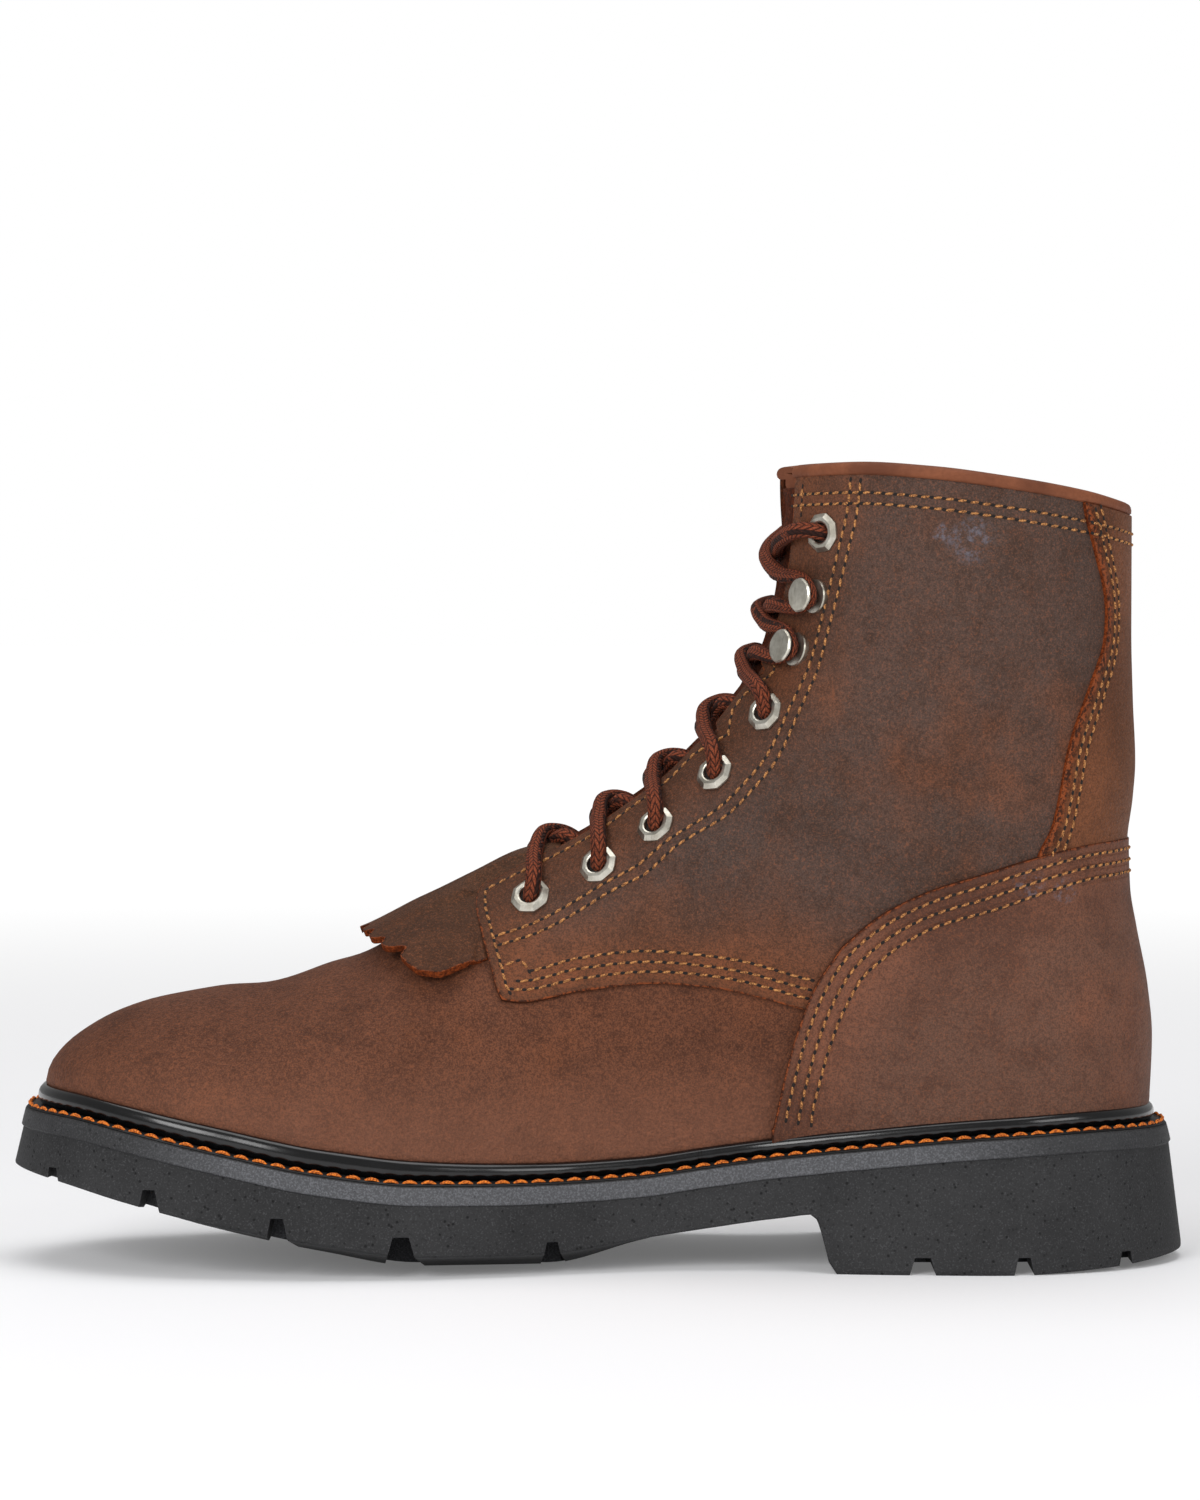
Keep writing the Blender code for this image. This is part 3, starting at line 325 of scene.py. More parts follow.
# %% [markdown]
# ## Lines drawn on the side view
# A shoemaker cuts panels by drawing their edges on the last. The same is done here: an edge is a short
# list of points of the side view, a flowing curve runs through them, and each point of it is found again
# by level and turn. Four such lines bound a panel, and a Coons patch fills the space between them.

# %% Draw lines and patches
HALVINGS, FINER, PAST_COLLAR, PAST_FACING = 36, 4, 1.05, 1.3
THROAT_X, THROAT_SAMPLES = -24.0, 400
LATERAL_PULL = (176.0, 207.0, 9.0)


def flowing(points, count=160):
    """Even points along a smooth curve through the given ones."""
    points = np.asarray(points, float)
    chord = arc_of(points)
    tangents = np.gradient(points, chord, axis=0)
    fine = np.linspace(0, chord[-1], count * FINER)
    i = np.clip(np.searchsorted(chord, fine, side="right") - 1, 0, len(chord) - 2)
    step = (chord[i + 1] - chord[i])[:, None]
    t = ((fine - chord[i]) / step[:, 0])[:, None]
    curve = ((points[i] * (1 + 2 * t) + tangents[i] * step * t) * (1 - t) ** 2
             + (points[i + 1] * (3 - 2 * t) + tangents[i + 1] * step * (t - 1)) * t * t)
    return evenly(curve, count)


def resampled(values, points, count):
    """Values that go with the points of a line, taken at even distances along it."""
    arc = arc_of(points)
    fine = np.linspace(0, arc[-1], count)
    return np.stack([np.interp(fine, arc, column) for column in values.T], axis=1)


def evenly(line, count):
    """The same line with its points at even distances."""
    return resampled(line, line, count)


def halved(is_low, low, high):
    """Values at which a test turns false, found by halving the space between two others."""
    for _ in range(HALVINGS):
        middle = (low + high) / 2
        under = is_low(middle)
        low, high = np.where(under, middle, low), np.where(under, high, middle)
    return (low + high) / 2


def level_of(x, z):
    """Level of the ring that passes a point of the side view."""
    return halved(lambda level: ring_height(level, x) < z, np.zeros_like(x), np.full_like(x, PAST_COLLAR))


def around(turn, side):
    """A turn of 0 to pi from the front, as turns run on one side: 0 to pi laterally, 2 pi to pi medially."""
    return turn if side == LATERAL else 2 * math.pi - turn


def on_skin(line, side):
    """Level and turn of points of the side view."""
    x, z = np.asarray(line, float).T
    level = level_of(x, z)
    front_x, _, back_x, _ = ring_ends(level)
    turn = np.arccos(1 - 2 * np.clip((x - front_x) / (back_x - front_x), 0.0, 1.0))
    return np.stack([level, around(turn, side)], axis=1)


def patch(bottom, top, left, right):
    """Coons patch of four lines of (level, turn) points, as a function of u and v from 0 to 1."""

    def at(line, share):
        marks = np.linspace(0, 1, len(line))
        return np.stack([np.interp(share, marks, line[:, i]) for i in (0, 1)], axis=-1)

    def filled(u, v):
        a, b = u[:, None], v[:, None]
        ruled = (1 - b) * at(bottom, u) + b * at(top, u) + (1 - a) * at(left, v) + a * at(right, v)
        corners = (1 - a) * ((1 - b) * bottom[0] + b * top[0]) + a * ((1 - b) * bottom[-1] + b * top[-1])
        return (ruled - corners).T

    return filled


def turn_at(level, side, reach):
    """Turn at which the skin is a given half width from the boot's middle, on one side."""

    def narrow(turn):
        return np.abs(bare_skin(level, turn * side)[..., 1]) < reach

    return halved(narrow, np.zeros_like(level), np.full_like(level, PAST_FACING))


def facing_turn(level, side):
    """Turn of the facing's edge, half a lacing gap from the middle; the lateral one is drawn in on top."""
    height = ring_ends(level)[1]
    drawn = LATERAL_PULL[2] * smooth_step(*LATERAL_PULL[:2], height) if side == LATERAL else 0.0
    return turn_at(level, side, lacing_gap(height) - drawn)


LEVELS = np.linspace(0, 1, THROAT_SAMPLES)
THROAT = float(np.interp(THROAT_X, ring_ends(LEVELS)[0], LEVELS))
print("throat at level", round(THROAT, 3))

# %% [markdown]
# ## Handling sheets
# A sheet of leather starts as a grid primitive. Its points are laid in place by a function of the grid's
# own u and v, then Solidify gives it its thickness, with one material for the face, one for the flesh
# side and one for the cut edge, and Bevel takes the sharpness off that edge. An attribute keeps each
# point's distance from the cut edge, so that the finish can follow the seams.

# %% Helpers for sheets
MERGE, BEVEL_ANGLE = 2e-6, math.radians(50)
FAR_FROM_EDGE, EDGE_SAMPLES, EDGE_CHUNKS = 50.0, 320, 8


def only(piece):
    """Selects one object and makes it active."""
    bpy.ops.object.select_all(action="DESELECT")
    piece.select_set(True)
    bpy.context.view_layer.objects.active = piece
    return piece


def points_of(piece):
    """The piece's points, in millimetres."""
    flat = np.empty(len(piece.data.vertices) * 3)
    piece.data.vertices.foreach_get("co", flat)
    return flat.reshape(-1, 3) / MM


def move_points(piece, points):
    piece.data.vertices.foreach_set("co", (np.asarray(points) * MM).ravel())
    piece.data.update()


def sheet(name, columns, rows, shape):
    """Grid primitive laid in place by a function of its u and v."""
    bpy.ops.object.select_all(action="DESELECT")
    bpy.ops.mesh.primitive_grid_add(x_subdivisions=columns, y_subdivisions=rows, size=2)
    piece = bpy.context.object
    piece.name = piece.data.name = name
    u, v = (points_of(piece)[:, :2].T * MM + 1) / 2
    move_points(piece, shape(u, v))
    return piece


def apply_modifier(piece, kind, **settings):
    only(piece)
    modifier = piece.modifiers.new(kind, kind)
    for name, value in settings.items():
        setattr(modifier, name, value)
    bpy.ops.object.modifier_apply(modifier=modifier.name)


def weld(piece):
    """Merges the points of seams and poles and turns the faces outwards."""
    only(piece)
    bpy.ops.object.mode_set(mode="EDIT")
    bpy.ops.mesh.select_all(action="SELECT")
    bpy.ops.mesh.remove_doubles(threshold=MERGE)
    bpy.ops.mesh.normals_make_consistent(inside=False)
    bpy.ops.object.mode_set(mode="OBJECT")


def mark_edges(piece, *lines):
    """Keeps each point's distance from the nearest cut edge, in millimetres."""
    points = points_of(piece)
    near = np.full(len(points), FAR_FROM_EDGE)
    for line in lines:
        for part in evenly(line, EDGE_SAMPLES).reshape(EDGE_CHUNKS, -1, 3):
            apart = np.linalg.norm(points[:, None] - part[None], axis=2)
            near = np.minimum(near, apart.min(axis=1))
    kept = piece.data.attributes.new("edge", "FLOAT", "POINT")
    kept.data.foreach_set("value", near.astype(np.float32))


def thicken(piece, thick, bevel, face, flesh, cut):
    """Gives a sheet its wall and three finishes, below the face that was laid, and softens its cut edge."""
    for finish in (face, flesh, cut):
        piece.data.materials.append(finish)
    apply_modifier(piece, "SOLIDIFY", thickness=thick * MM, offset=-1.0, material_offset=1,
                   material_offset_rim=2)
    if bevel:
        apply_modifier(piece, "BEVEL", width=bevel * MM, segments=2, limit_method="ANGLE",
                       angle_limit=BEVEL_ANGLE, use_clamp_overlap=True)


def dress(piece, slot, *nodes, finish=None, angle=40.0):
    """Rides a finished piece on the boot, in place of the solids that it stands for."""
    if finish:
        piece.data.materials.append(finish)
    only(piece)
    bpy.ops.object.shade_smooth_by_angle(angle=math.radians(angle))
    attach(piece, "root")
    if nodes:
        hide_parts(*nodes)
    print(piece.name, len(piece.data.polygons), "faces")
    return piece


print("helpers ready")

# %% [markdown]
# ## Writing shaders as sums
# A finish is a few noises mixed by arithmetic. Wiring that by hand is slow to read, so one small class
# wraps an output socket: adding, subtracting, multiplying or dividing such wires adds the Math node, and
# every other node comes from one method that takes its type, its settings and its inputs.

# %% A wire of the node tree


class Wire:
    """An output socket of a material, or with no socket the bare tree to start from."""

    def __init__(self, tree, socket=None):
        self.tree = tree
        self.socket = socket

    def node(self, kind, settings=(), inputs=(), output=0):
        made = self.tree.nodes.new("ShaderNode" + kind)
        for name, value in dict(settings).items():
            setattr(made, name, value)
        for name, value in dict(inputs).items():
            if isinstance(value, Wire):
                self.tree.links.new(value.socket, made.inputs[name])
            else:
                made.inputs[name].default_value = value
        return Wire(self.tree, made.outputs[output])

    def maths(self, operation, first, second=0.0):
        return self.node("Math", {"operation": operation}, {0: first, 1: second})

    def __add__(self, other):
        return self.maths("ADD", self, other)

    def __sub__(self, other):
        return self.maths("SUBTRACT", self, other)

    def __rsub__(self, other):
        return self.maths("SUBTRACT", other, self)

    def __mul__(self, other):
        return self.maths("MULTIPLY", self, other)

    def __truediv__(self, other):
        return self.maths("DIVIDE", self, other)

    __radd__ = __add__
    __rmul__ = __mul__

    def ramp(self, low, high):
        """0 up to the low value, 1 from the high one, smooth between."""
        settings = {"interpolation_type": "SMOOTHSTEP"}
        return self.node("MapRange", settings, {"Value": self, "From Min": low, "From Max": high})

    def noise(self, place, scale, detail=4.0, rough=0.55, stretch=None):
        if stretch:
            place = self.node("Mapping", {}, {"Vector": place, "Scale": stretch})
        inputs = {"Vector": place, "Scale": scale, "Detail": detail, "Roughness": rough}
        return self.node("TexNoise", {}, inputs)

    def mix(self, share, first, second):
        return self.node("Mix", {"data_type": "RGBA"}, {0: share, 6: first, 7: second}, output=2)

    def layered(self, colour, *layers):
        """A ground colour with others laid over it, each by the share that its own mask gives."""
        for share, over in layers:
            colour = self.mix(share, colour, over)
        return colour

    def split(self):
        """The three parts of a vector."""
        parts = self.node("SeparateXYZ", {}, {0: self}).socket.node.outputs
        return [Wire(self.tree, part) for part in parts]

    def bump(self, height, depth):
        """Normal from a height of 0 to 1 that stands for a depth in millimetres."""
        return self.node("Bump", {}, {"Height": height, "Distance": depth * MM, "Strength": 1.0})


def srgb(red, green, blue):
    """Colour read off a picture, 0 to 255, as the linear colour that a shader takes."""
    parts = [c / 255 for c in (red, green, blue)]
    return (*(p / 12.92 if p < 0.04045 else ((p + 0.055) / 1.055) ** 2.4 for p in parts), 1.0)


def new_finish(name, **constants):
    """A material with constant sockets set, its shader, its bare tree and the place on a piece."""
    made = bpy.data.materials.new(name)
    made.use_nodes = True
    shader = made.node_tree.nodes["Principled BSDF"]
    for socket, value in constants.items():
        shader.inputs[socket.replace("_", " ")].default_value = value
    tree = Wire(made.node_tree)
    return made, shader, tree, tree.node("TexCoord", output="Object")


def feed(shader, **wires):
    """Joins wires to the shader's sockets."""
    for socket, wire in wires.items():
        wire.tree.links.new(wire.socket, shader.inputs[socket.replace("_", " ")])


print("shader helper ready")

# %% [markdown]
# ## Oiled leather
# The hide is waxed and sanded, so its colour is never even: wide clouds of a darker and a greyer brown,
# smaller blotches, a fine grain and a few pale rust scratches. Towards a cut edge it is rubbed dark, and
# beside the seams the thread pulls it into a shallow channel. Each panel of the boot came from another
# part of the hide, so one function makes the finish and each panel has its own browns.

# %% The leather finish
Scuff = namedtuple("Scuff", "x z radius")
SCUFFS = (Scuff(95.0, 188.5, 6.5), Scuff(87.5, 190.0, 3.0), Scuff(110.5, 100.2, 4.5), Scuff(120.0, 98.0, 3.5))
SCUFF_COLOUR = srgb(112, 112, 124)
RUST, RAW_EDGE, RAW_DARK = srgb(138, 80, 50), srgb(150, 74, 34), srgb(46, 21, 11)
# Heights, in metres, over which the vamp's painted bounce light from the floor fades out.
FLOOR_BOUNCE_HEIGHTS = (0.062, 0.03)
SEAM_WIDTH, WARM_WIDTH = 1.1, 32.0


def leather(name, main, dark, grey, seams=(), raw=0.5, floor_bounce_paint=None):
    """Waxed hide of three browns. Its cut edge shows raw fibres over a width in millimetres."""
    made, shader, tree, place = new_finish(name, Specular_IOR_Level=0.16)
    edge = tree.node("Attribute", {"attribute_name": "edge"}, output="Fac")
    clouds = tree.noise(place, 19.0, 3.0).ramp(0.38, 0.62)
    haze = tree.noise(place, 27.0, 4.0, 0.6, (1.0, 1.0, 0.7)).ramp(0.2, 0.5) * edge.ramp(2.0, WARM_WIDTH)
    blotch = tree.noise(place, 120.0, 5.0, 0.7).ramp(0.44, 0.72)
    grain = tree.noise(place, 900.0, 4.0, 0.7)
    nap = tree.noise(place, 2300.0, 3.0, 0.7)
    hairs = tree.noise(place, 520.0, 3.0, 0.6, (1.0, 1.0, 0.28))
    light = tree.noise(place, 64.0, 6.0, 0.7).ramp(0.56, 0.8)
    scratch = tree.noise(place, 95.0, 2.0, 0.5, (5.0, 5.0, 0.6)).ramp(0.74, 0.78)
    colour = tree.layered(
        main, (clouds * 0.8, dark), (haze * 0.85, grey), (blotch * 0.5, dark), (light * 0.25, RUST),
        (grain.ramp(0.48, 0.62) * 0.4, dark), ((1 - grain.ramp(0.35, 0.45)) * 0.3, RUST),
        (nap.ramp(0.48, 0.58) * 0.5, dark), ((1 - nap.ramp(0.38, 0.46)) * 0.36, RUST), (scratch * 0.35, RUST))
    x, y, z = place.split()
    # Painted bounce light: low on the boot, up to 30 mm and fading out by 62 mm, the colour is mixed a little
    # towards a lighter brown, as light thrown up from the floor would make it.
    if floor_bounce_paint:
        colour = tree.mix(z.ramp(*FLOOR_BOUNCE_HEIGHTS) * 0.3, colour, floor_bounce_paint)
    scraped = tree.noise(place, 520.0, 5.0, 0.75).ramp(0.46, 0.66) * y.ramp(0.0, -0.004)
    for scuff in SCUFFS:
        across = (x - scuff.x * MM) / (scuff.radius * MM)
        up = (z - scuff.z * MM) / (scuff.radius * MM)
        near = 1 - (across * across + up * up).ramp(0.1, 1.3)
        colour = tree.mix(near * scraped * 0.6, colour, SCUFF_COLOUR)
    colour = tree.mix((1 - edge.ramp(0.3, 3.2)) * 0.3, colour, dark)
    cut = 1 - (edge + (hairs - 0.5) * (0.2 + raw * 1.3)).ramp(raw * 0.5, raw * 1.5)
    fibres = tree.mix(grain.ramp(0.42, 0.57), RAW_EDGE, RAW_DARK)
    colour = tree.mix(cut * 0.85, colour, fibres)
    pores = tree.node("TexVoronoi", {"feature": "F1"}, {"Vector": place, "Scale": 1050.0})
    wrinkle = tree.noise(place, 240.0, 5.0, 0.62)
    height = grain * 0.9 + nap * 0.4 + hairs * 0.3 + pores * 0.6 + wrinkle * 1.2 + cut * (nap + hairs)
    for seam in seams:
        apart = (edge - seam) / SEAM_WIDTH
        height = height - (1 - (apart * apart).ramp(0.0, 1.0)) * 0.9
    feed(shader, Base_Color=colour, Roughness=0.48 + clouds * 0.07 + grain * 0.22,
         Normal=tree.bump(height, 0.34))
    return made


COUNTER_SEAMS, STAY_SEAMS, QUARTER_SEAMS = (2.8, 6.0, 9.2), (3.3, 5.5), (3.2, 5.5, 7.9)
# The vamp's fourth, lighter brown is painted bounce light from the floor, low on the boot.
VAMP_LEATHER = leather("vamp_leather", srgb(122, 71, 44), srgb(54, 30, 20), srgb(102, 63, 45),
                       floor_bounce_paint=srgb(146, 100, 80))
QUARTER_LEATHER = leather("quarter_leather", srgb(124, 73, 46), srgb(59, 39, 28), srgb(74, 65, 61))
COUNTER_LEATHER = leather("counter_leather", srgb(126, 81, 61), srgb(72, 46, 36), srgb(104, 76, 63),
                          COUNTER_SEAMS)
STAY_LEATHER = leather("backstay_leather", srgb(124, 75, 47), srgb(74, 44, 28), srgb(110, 69, 45),
                       STAY_SEAMS, raw=2.0)
KILTIE_LEATHER = leather("kiltie_leather", srgb(94, 57, 35), srgb(54, 33, 21), srgb(80, 54, 37), raw=0.4)
print("leathers: 5")

# %% Raw edges, flesh side and lining


def suede(name, main, dark, fuzz):
    """Napped leather: the flesh side, and the fibres of a cut edge."""
    made, shader, tree, place = new_finish(name, Specular_IOR_Level=0.1)
    fibre = tree.noise(place, 1300.0, 4.0, 0.7)
    patches = tree.noise(place, 260.0, 4.0, 0.6)
    colour = tree.layered(dark, (fibre.ramp(0.3, 0.72), main), (patches.ramp(0.45, 0.75) * 0.5, dark))
    feed(shader, Base_Color=colour, Roughness=0.85 + fibre * 0.1, Normal=tree.bump(fibre + patches, fuzz))
    return made


CUT_EDGE = suede("cut_edge", srgb(92, 46, 24), srgb(44, 22, 12), 0.3)
FUZZY_EDGE = suede("fuzzy_edge", srgb(150, 70, 30), srgb(62, 26, 11), 0.6)
FLESH = suede("flesh_side", srgb(120, 62, 36), srgb(64, 30, 18), 0.4)
LINING = suede("lining", srgb(136, 84, 48), srgb(96, 56, 32), 0.15)
print("suedes: 4")

# %% [markdown]
# ## The lasted upper
# Vamp and shaft are one wall that a maker pulls over the last, two millimetres thick, open at the collar
# and at the lacing gap. Two grids make it: one goes round the boot from facing to facing, the other
# closes the front below the throat. Their rows meet, so the two are joined and welded before Solidify
# gives the wall.

# %% Lay the upper
WALL = 2.0
UPPER_COLUMNS, FRONT_COLUMNS = 190, 22
TUCK_ROWS, VAMP_ROWS, SHAFT_ROWS = 10, 54, 50
TOE_ROWS, UPPER_ROWS = TUCK_ROWS + VAMP_ROWS, TUCK_ROWS + VAMP_ROWS + SHAFT_ROWS


def upper_level(row):
    """Level of a row of the upper's grids."""
    return np.interp(row, (0, TUCK_ROWS, TOE_ROWS, UPPER_ROWS), (-1.0, 0.0, THROAT, 1.0))


def upper_wall(rows, over_toe=False):
    """Grid function of the wall from facing to facing: round the back, or over the toe below the throat."""

    def laid(u, v):
        level = upper_level(v * rows)
        medial, lateral = (facing_turn(np.maximum(level, 0), side) for side in SIDES.values())
        start, end = (lateral, -medial) if over_toe else (2 * math.pi - medial, lateral)
        return skin(level, start + (end - start) * u)

    return laid


def join(main, *others):
    """Joins pieces into the first and welds their seams."""
    only(main)
    for other in others:
        other.select_set(True)
    bpy.ops.object.join()
    weld(main)
    return main


upper = sheet("upper_leather", UPPER_COLUMNS, UPPER_ROWS, upper_wall(UPPER_ROWS))
toe_strip = sheet("toe_strip", FRONT_COLUMNS, TOE_ROWS, upper_wall(TOE_ROWS, over_toe=True))
join(upper, toe_strip)
mark_edges(upper)
thicken(upper, WALL, 0.0, VAMP_LEATHER, LINING, CUT_EDGE)
dress(upper, "oiled_leather", "upper")

# %% [markdown]
# ## Quarters, counter and backstay
# The quarters are cut from a thinner, greyer part of the hide and sewn over the vamp, with the facings
# that carry the eyelets. Two small notches let each facing bend at the ankle. The counter stiffens the
# heel and the backstay covers the seam behind the ankle, its edge left raw. Each is one patch between its
# own cut edges.

# %% Cut the quarters
QUARTER_OUT, STAY_OUT, COUNTER_OUT = 1.5, 2.5, 2.9
LIE, PANEL_BEVEL, NOTCH_SPREAD = 0.15, 0.28, 1.1
QUARTER_GRID, COUNTER_GRID, STAY_GRID = (84, 150), (170, 60), (44, 90)
LINE_SAMPLES, FACING_SAMPLES, PLAIN_SAMPLES = 400, 500, 60
QUARTER_TOP, TURN_STEP = 0.995, 0.01
Notch = namedtuple("Notch", "z depth half")
NOTCHES = (Notch(137.2, 5.2, 3.4), Notch(153.4, 5.2, 3.4))
FRONT_EDGE = ((-25.2, 69.6), (-26.4, 72.0), (-27.8, 77.0), (-30.4, 86.5), (-31.6, 92.0), (-31.2, 95.2),
              (-29.6, 97.3))
QUARTER_EDGE = ((-25.2, 69.6), (-22.0, 69.1), (-5.0, 71.8), (13.0, 74.0), (28.0, 73.2), (56.0, 66.5))
BEHIND_EDGE = ((56.0, 66.5), (59.5, 75.0), (65.5, 83.0), (74.0, 90.0), (84.5, 95.0), (98.5, 100.0),
               (112.0, 104.0), (118.0, 109.0), (121.0, 116.0), (124.5, 130.0), (129.0, 145.0), (133.6, 158.0),
               (134.6, 168.0), (133.0, 180.0), (129.6, 190.0), (128.4, 197.0))
CORNER = (-26.6, 99.0)
CORNER_LEVEL = float(level_of(*np.array(CORNER)[:, None])[0])


def spread_on_skin(*lines):
    """The same (level, turn) lines with their points at even distances on the boot."""
    return [resampled(line, skin(*line.T), LINE_SAMPLES) for line in lines]


def facing_line(side, low, high, inset=0.0):
    """Edge of a facing between two levels, notches and all, or a line at a distance inside it."""
    level = np.linspace(low, high, FACING_SAMPLES)
    turn = facing_turn(level, side)
    here = skin(level, around(turn, side))
    scale = np.linalg.norm(skin(level, around(turn + TURN_STEP, side)) - here, axis=1) / TURN_STEP
    arc = arc_of(here)
    cut = np.full(FACING_SAMPLES, float(inset))
    for notch in NOTCHES:
        apart = np.abs(arc - np.interp(notch.z, here[:, 2], arc))
        cut = np.maximum(cut, notch.depth * (1 - apart / (notch.half + inset * NOTCH_SPREAD)) + inset)
    return np.stack([level, around(turn + cut / scale, side)], axis=1)


def quarter_lines(side):
    """Bottom, top, front and back lines of a quarter, as (level, turn)."""
    bottom, front, behind = (on_skin(flowing(edge), side) for edge in (QUARTER_EDGE, FRONT_EDGE, BEHIND_EDGE))
    front = np.concatenate([front, facing_line(side, CORNER_LEVEL, QUARTER_TOP)])
    return spread_on_skin(bottom, np.linspace(front[-1], behind[-1], PLAIN_SAMPLES), front, behind)


def panel(name, lines, cut, grid, out, *finishes, flipped=False):
    """A sewn panel: a patch of the skin between four lines, some of them cut edges, with its wall below."""
    fill = patch(*lines)

    def laid(u, v):
        return skin(*fill(1 - u if flipped else u, v), out)

    piece = sheet(name, *grid, laid)
    mark_edges(piece, *(skin(*lines[number].T, out) for number in cut))
    thicken(piece, out - LIE, PANEL_BEVEL, *finishes)
    return piece


for name, side in SIDES.items():
    quarter = panel("quarter_" + name + "_leather", quarter_lines(side), (0, 2), QUARTER_GRID, QUARTER_OUT,
                    QUARTER_LEATHER, FLESH, CUT_EDGE, flipped=side == LATERAL)
    dress(quarter, "oiled_leather", "quarter_" + name)

# %% Cut the counter and the backstay
COUNTER_FRONT = ((44.5, 34.4), (47.5, 48.0), (51.5, 62.5), (56.0, 74.0), (62.5, 84.0))
COUNTER_TOP = ((62.5, 84.0), (72.0, 92.0), (82.8, 97.6), (98.0, 102.6), (112.0, 106.9), (125.0, 109.7),
               (134.0, 110.4))
BACKSTAY_EDGE = ((110.6, 102.5), (112.4, 107.8), (115.4, 114.0), (117.6, 123.0), (120.0, 136.0),
                 (125.2, 151.0), (129.0, 162.0), (129.4, 172.0), (126.2, 186.0), (123.8, 195.0))
COUNTER_SEAT, STAY_TOP, STAY_FRONT, COLLAR_BACK = -0.62, 1.9, 123.3, 136.9
BACK_SAMPLES, SEAT_SAMPLES, STAY_SAMPLES = 26, 80, 30


def mirrored(line):
    """A (level, turn) line on the boot's other side."""
    return np.stack([line[:, 0], 2 * math.pi - line[:, 1]], axis=1)


def round_back(line):
    """A medial line, run on over the back of the boot to its lateral mirror."""
    far = mirrored(line[::-1])
    return np.concatenate([line, np.linspace(line[-1], far[0], BACK_SAMPLES)[1:-1], far])


def below_collar(start, end, count, drop):
    """Points of the side view at a distance below the collar."""
    xs = np.linspace(start, end, count)
    return np.stack([xs, collar_height(xs) - drop], axis=1)


def counter_lines():
    """Bottom, top, near and far lines of the counter, as (level, turn)."""
    near = on_skin(flowing(COUNTER_FRONT), MEDIAL)
    near = np.concatenate([[(COUNTER_SEAT, near[0, 1])], near])
    top = round_back(on_skin(flowing(COUNTER_TOP), MEDIAL))
    low = np.linspace(near[0], (COUNTER_SEAT, math.pi), SEAT_SAMPLES)
    return spread_on_skin(round_back(low), top, near, mirrored(near))


def backstay_lines():
    """Bottom, top, near and far lines of the backstay, as (level, turn)."""
    collar = below_collar(STAY_FRONT, COLLAR_BACK, STAY_SAMPLES, STAY_TOP)
    near = on_skin(flowing(BACKSTAY_EDGE + (tuple(collar[0]),)), MEDIAL)
    far = mirrored(near)
    low = np.linspace(near[0], far[0], PLAIN_SAMPLES)
    return spread_on_skin(low, round_back(on_skin(collar, MEDIAL)), near, far)


counter = panel("counter_leather", counter_lines(), (1, 2, 3), COUNTER_GRID, COUNTER_OUT,
                COUNTER_LEATHER, FLESH, CUT_EDGE)
dress(counter, "oiled_leather", "heel_counter")
backstay = panel("backstay_leather", backstay_lines(), (2, 3), STAY_GRID, STAY_OUT,
                 STAY_LEATHER, FLESH, FUZZY_EDGE)
dress(backstay, "oiled_leather", "backstay")

# %% [markdown]
# ## The collar binding
# A soft strip of redder leather is folded over the collar's raw edge and sewn down on both sides. Its
# section is a rounded hairpin. The section is swept round the collar from facing to facing, and each end
# is drawn together on its middle, which closes the tube.

# %% Fold the binding
BINDING_SECTION = ((0.1, -1.7), (1.7, -1.8), (2.3, -1.2), (2.35, -0.3), (1.9, 0.8), (0.9, 1.4), (-1.0, 1.5),
                   (-2.6, 1.1), (-3.4, -0.2), (-3.5, -3.6), (-2.4, -4.4), (-0.2, -4.0), (0.1, -1.7))
BINDING_MIDDLE, BINDING_COLUMNS, BINDING_ROWS = (-0.5, -1.5), 240, 26
Pucker = namedtuple("Pucker", "depth waves below")
PUCKER = Pucker(0.12, 420.0, -1.0)


def leather_plain(name, main, dark):
    """Soft, evenly coloured leather, with a fine wrinkled grain."""
    made, shader, tree, place = new_finish(name, Specular_IOR_Level=0.18)
    clouds = tree.noise(place, 60.0, 4.0)
    fine = tree.noise(place, 900.0, 4.0, 0.65)
    wrinkle = tree.noise(place, 300.0, 5.0, 0.65)
    colour = tree.layered(main, (clouds.ramp(0.35, 0.7), dark), (fine.ramp(0.35, 0.7) * 0.35, dark))
    feed(shader, Base_Color=colour, Roughness=0.55 + fine * 0.2, Normal=tree.bump(wrinkle + fine * 0.6, 0.14))
    return made


def swept_ends(u, columns):
    """Share along a sweep whose first and last columns close the ends, and which columns those are."""
    step = np.rint(u * columns)
    return np.clip((step - 1) / (columns - 2), 0.0, 1.0), (step < 0.5) | (step > columns - 0.5)


def fold(u, v):
    along, closing = swept_ends(u, BINDING_COLUMNS)
    section = flowing(BINDING_SECTION, BINDING_ROWS + 1)[np.rint(v * BINDING_ROWS).astype(int)]
    section = np.where(closing[:, None], BINDING_MIDDLE, section)
    level = np.ones_like(u)
    start, end = 2 * math.pi - facing_turn(level, MEDIAL), facing_turn(level, LATERAL)
    pucker = PUCKER.depth * np.sin(along * PUCKER.waves) * (section[:, 1] < PUCKER.below) * ~closing
    points = skin(level, start + (end - start) * along, section[:, 0] + pucker)
    points[:, 2] += section[:, 1]
    return points


BINDING_LEATHER = leather_plain("binding_leather", srgb(132, 78, 52), srgb(98, 55, 36))
binding = sheet("binding_leather", BINDING_COLUMNS, BINDING_ROWS, fold)
weld(binding)
dress(binding, "binding_leather", "collar_binding", finish=BINDING_LEATHER, angle=60.0)

# %% [markdown]
# ## Tongue and kiltie
# The tongue is a soft napped split that closes the lacing gap from behind and swells between the facings.
# The kiltie is a thick flap of the vamp's hide that starts under the laces and lies over the vamp, its
# front cut into scallops. It is cut raw, and its front lifts clear of the vamp, which leaves a dark gap
# below it.

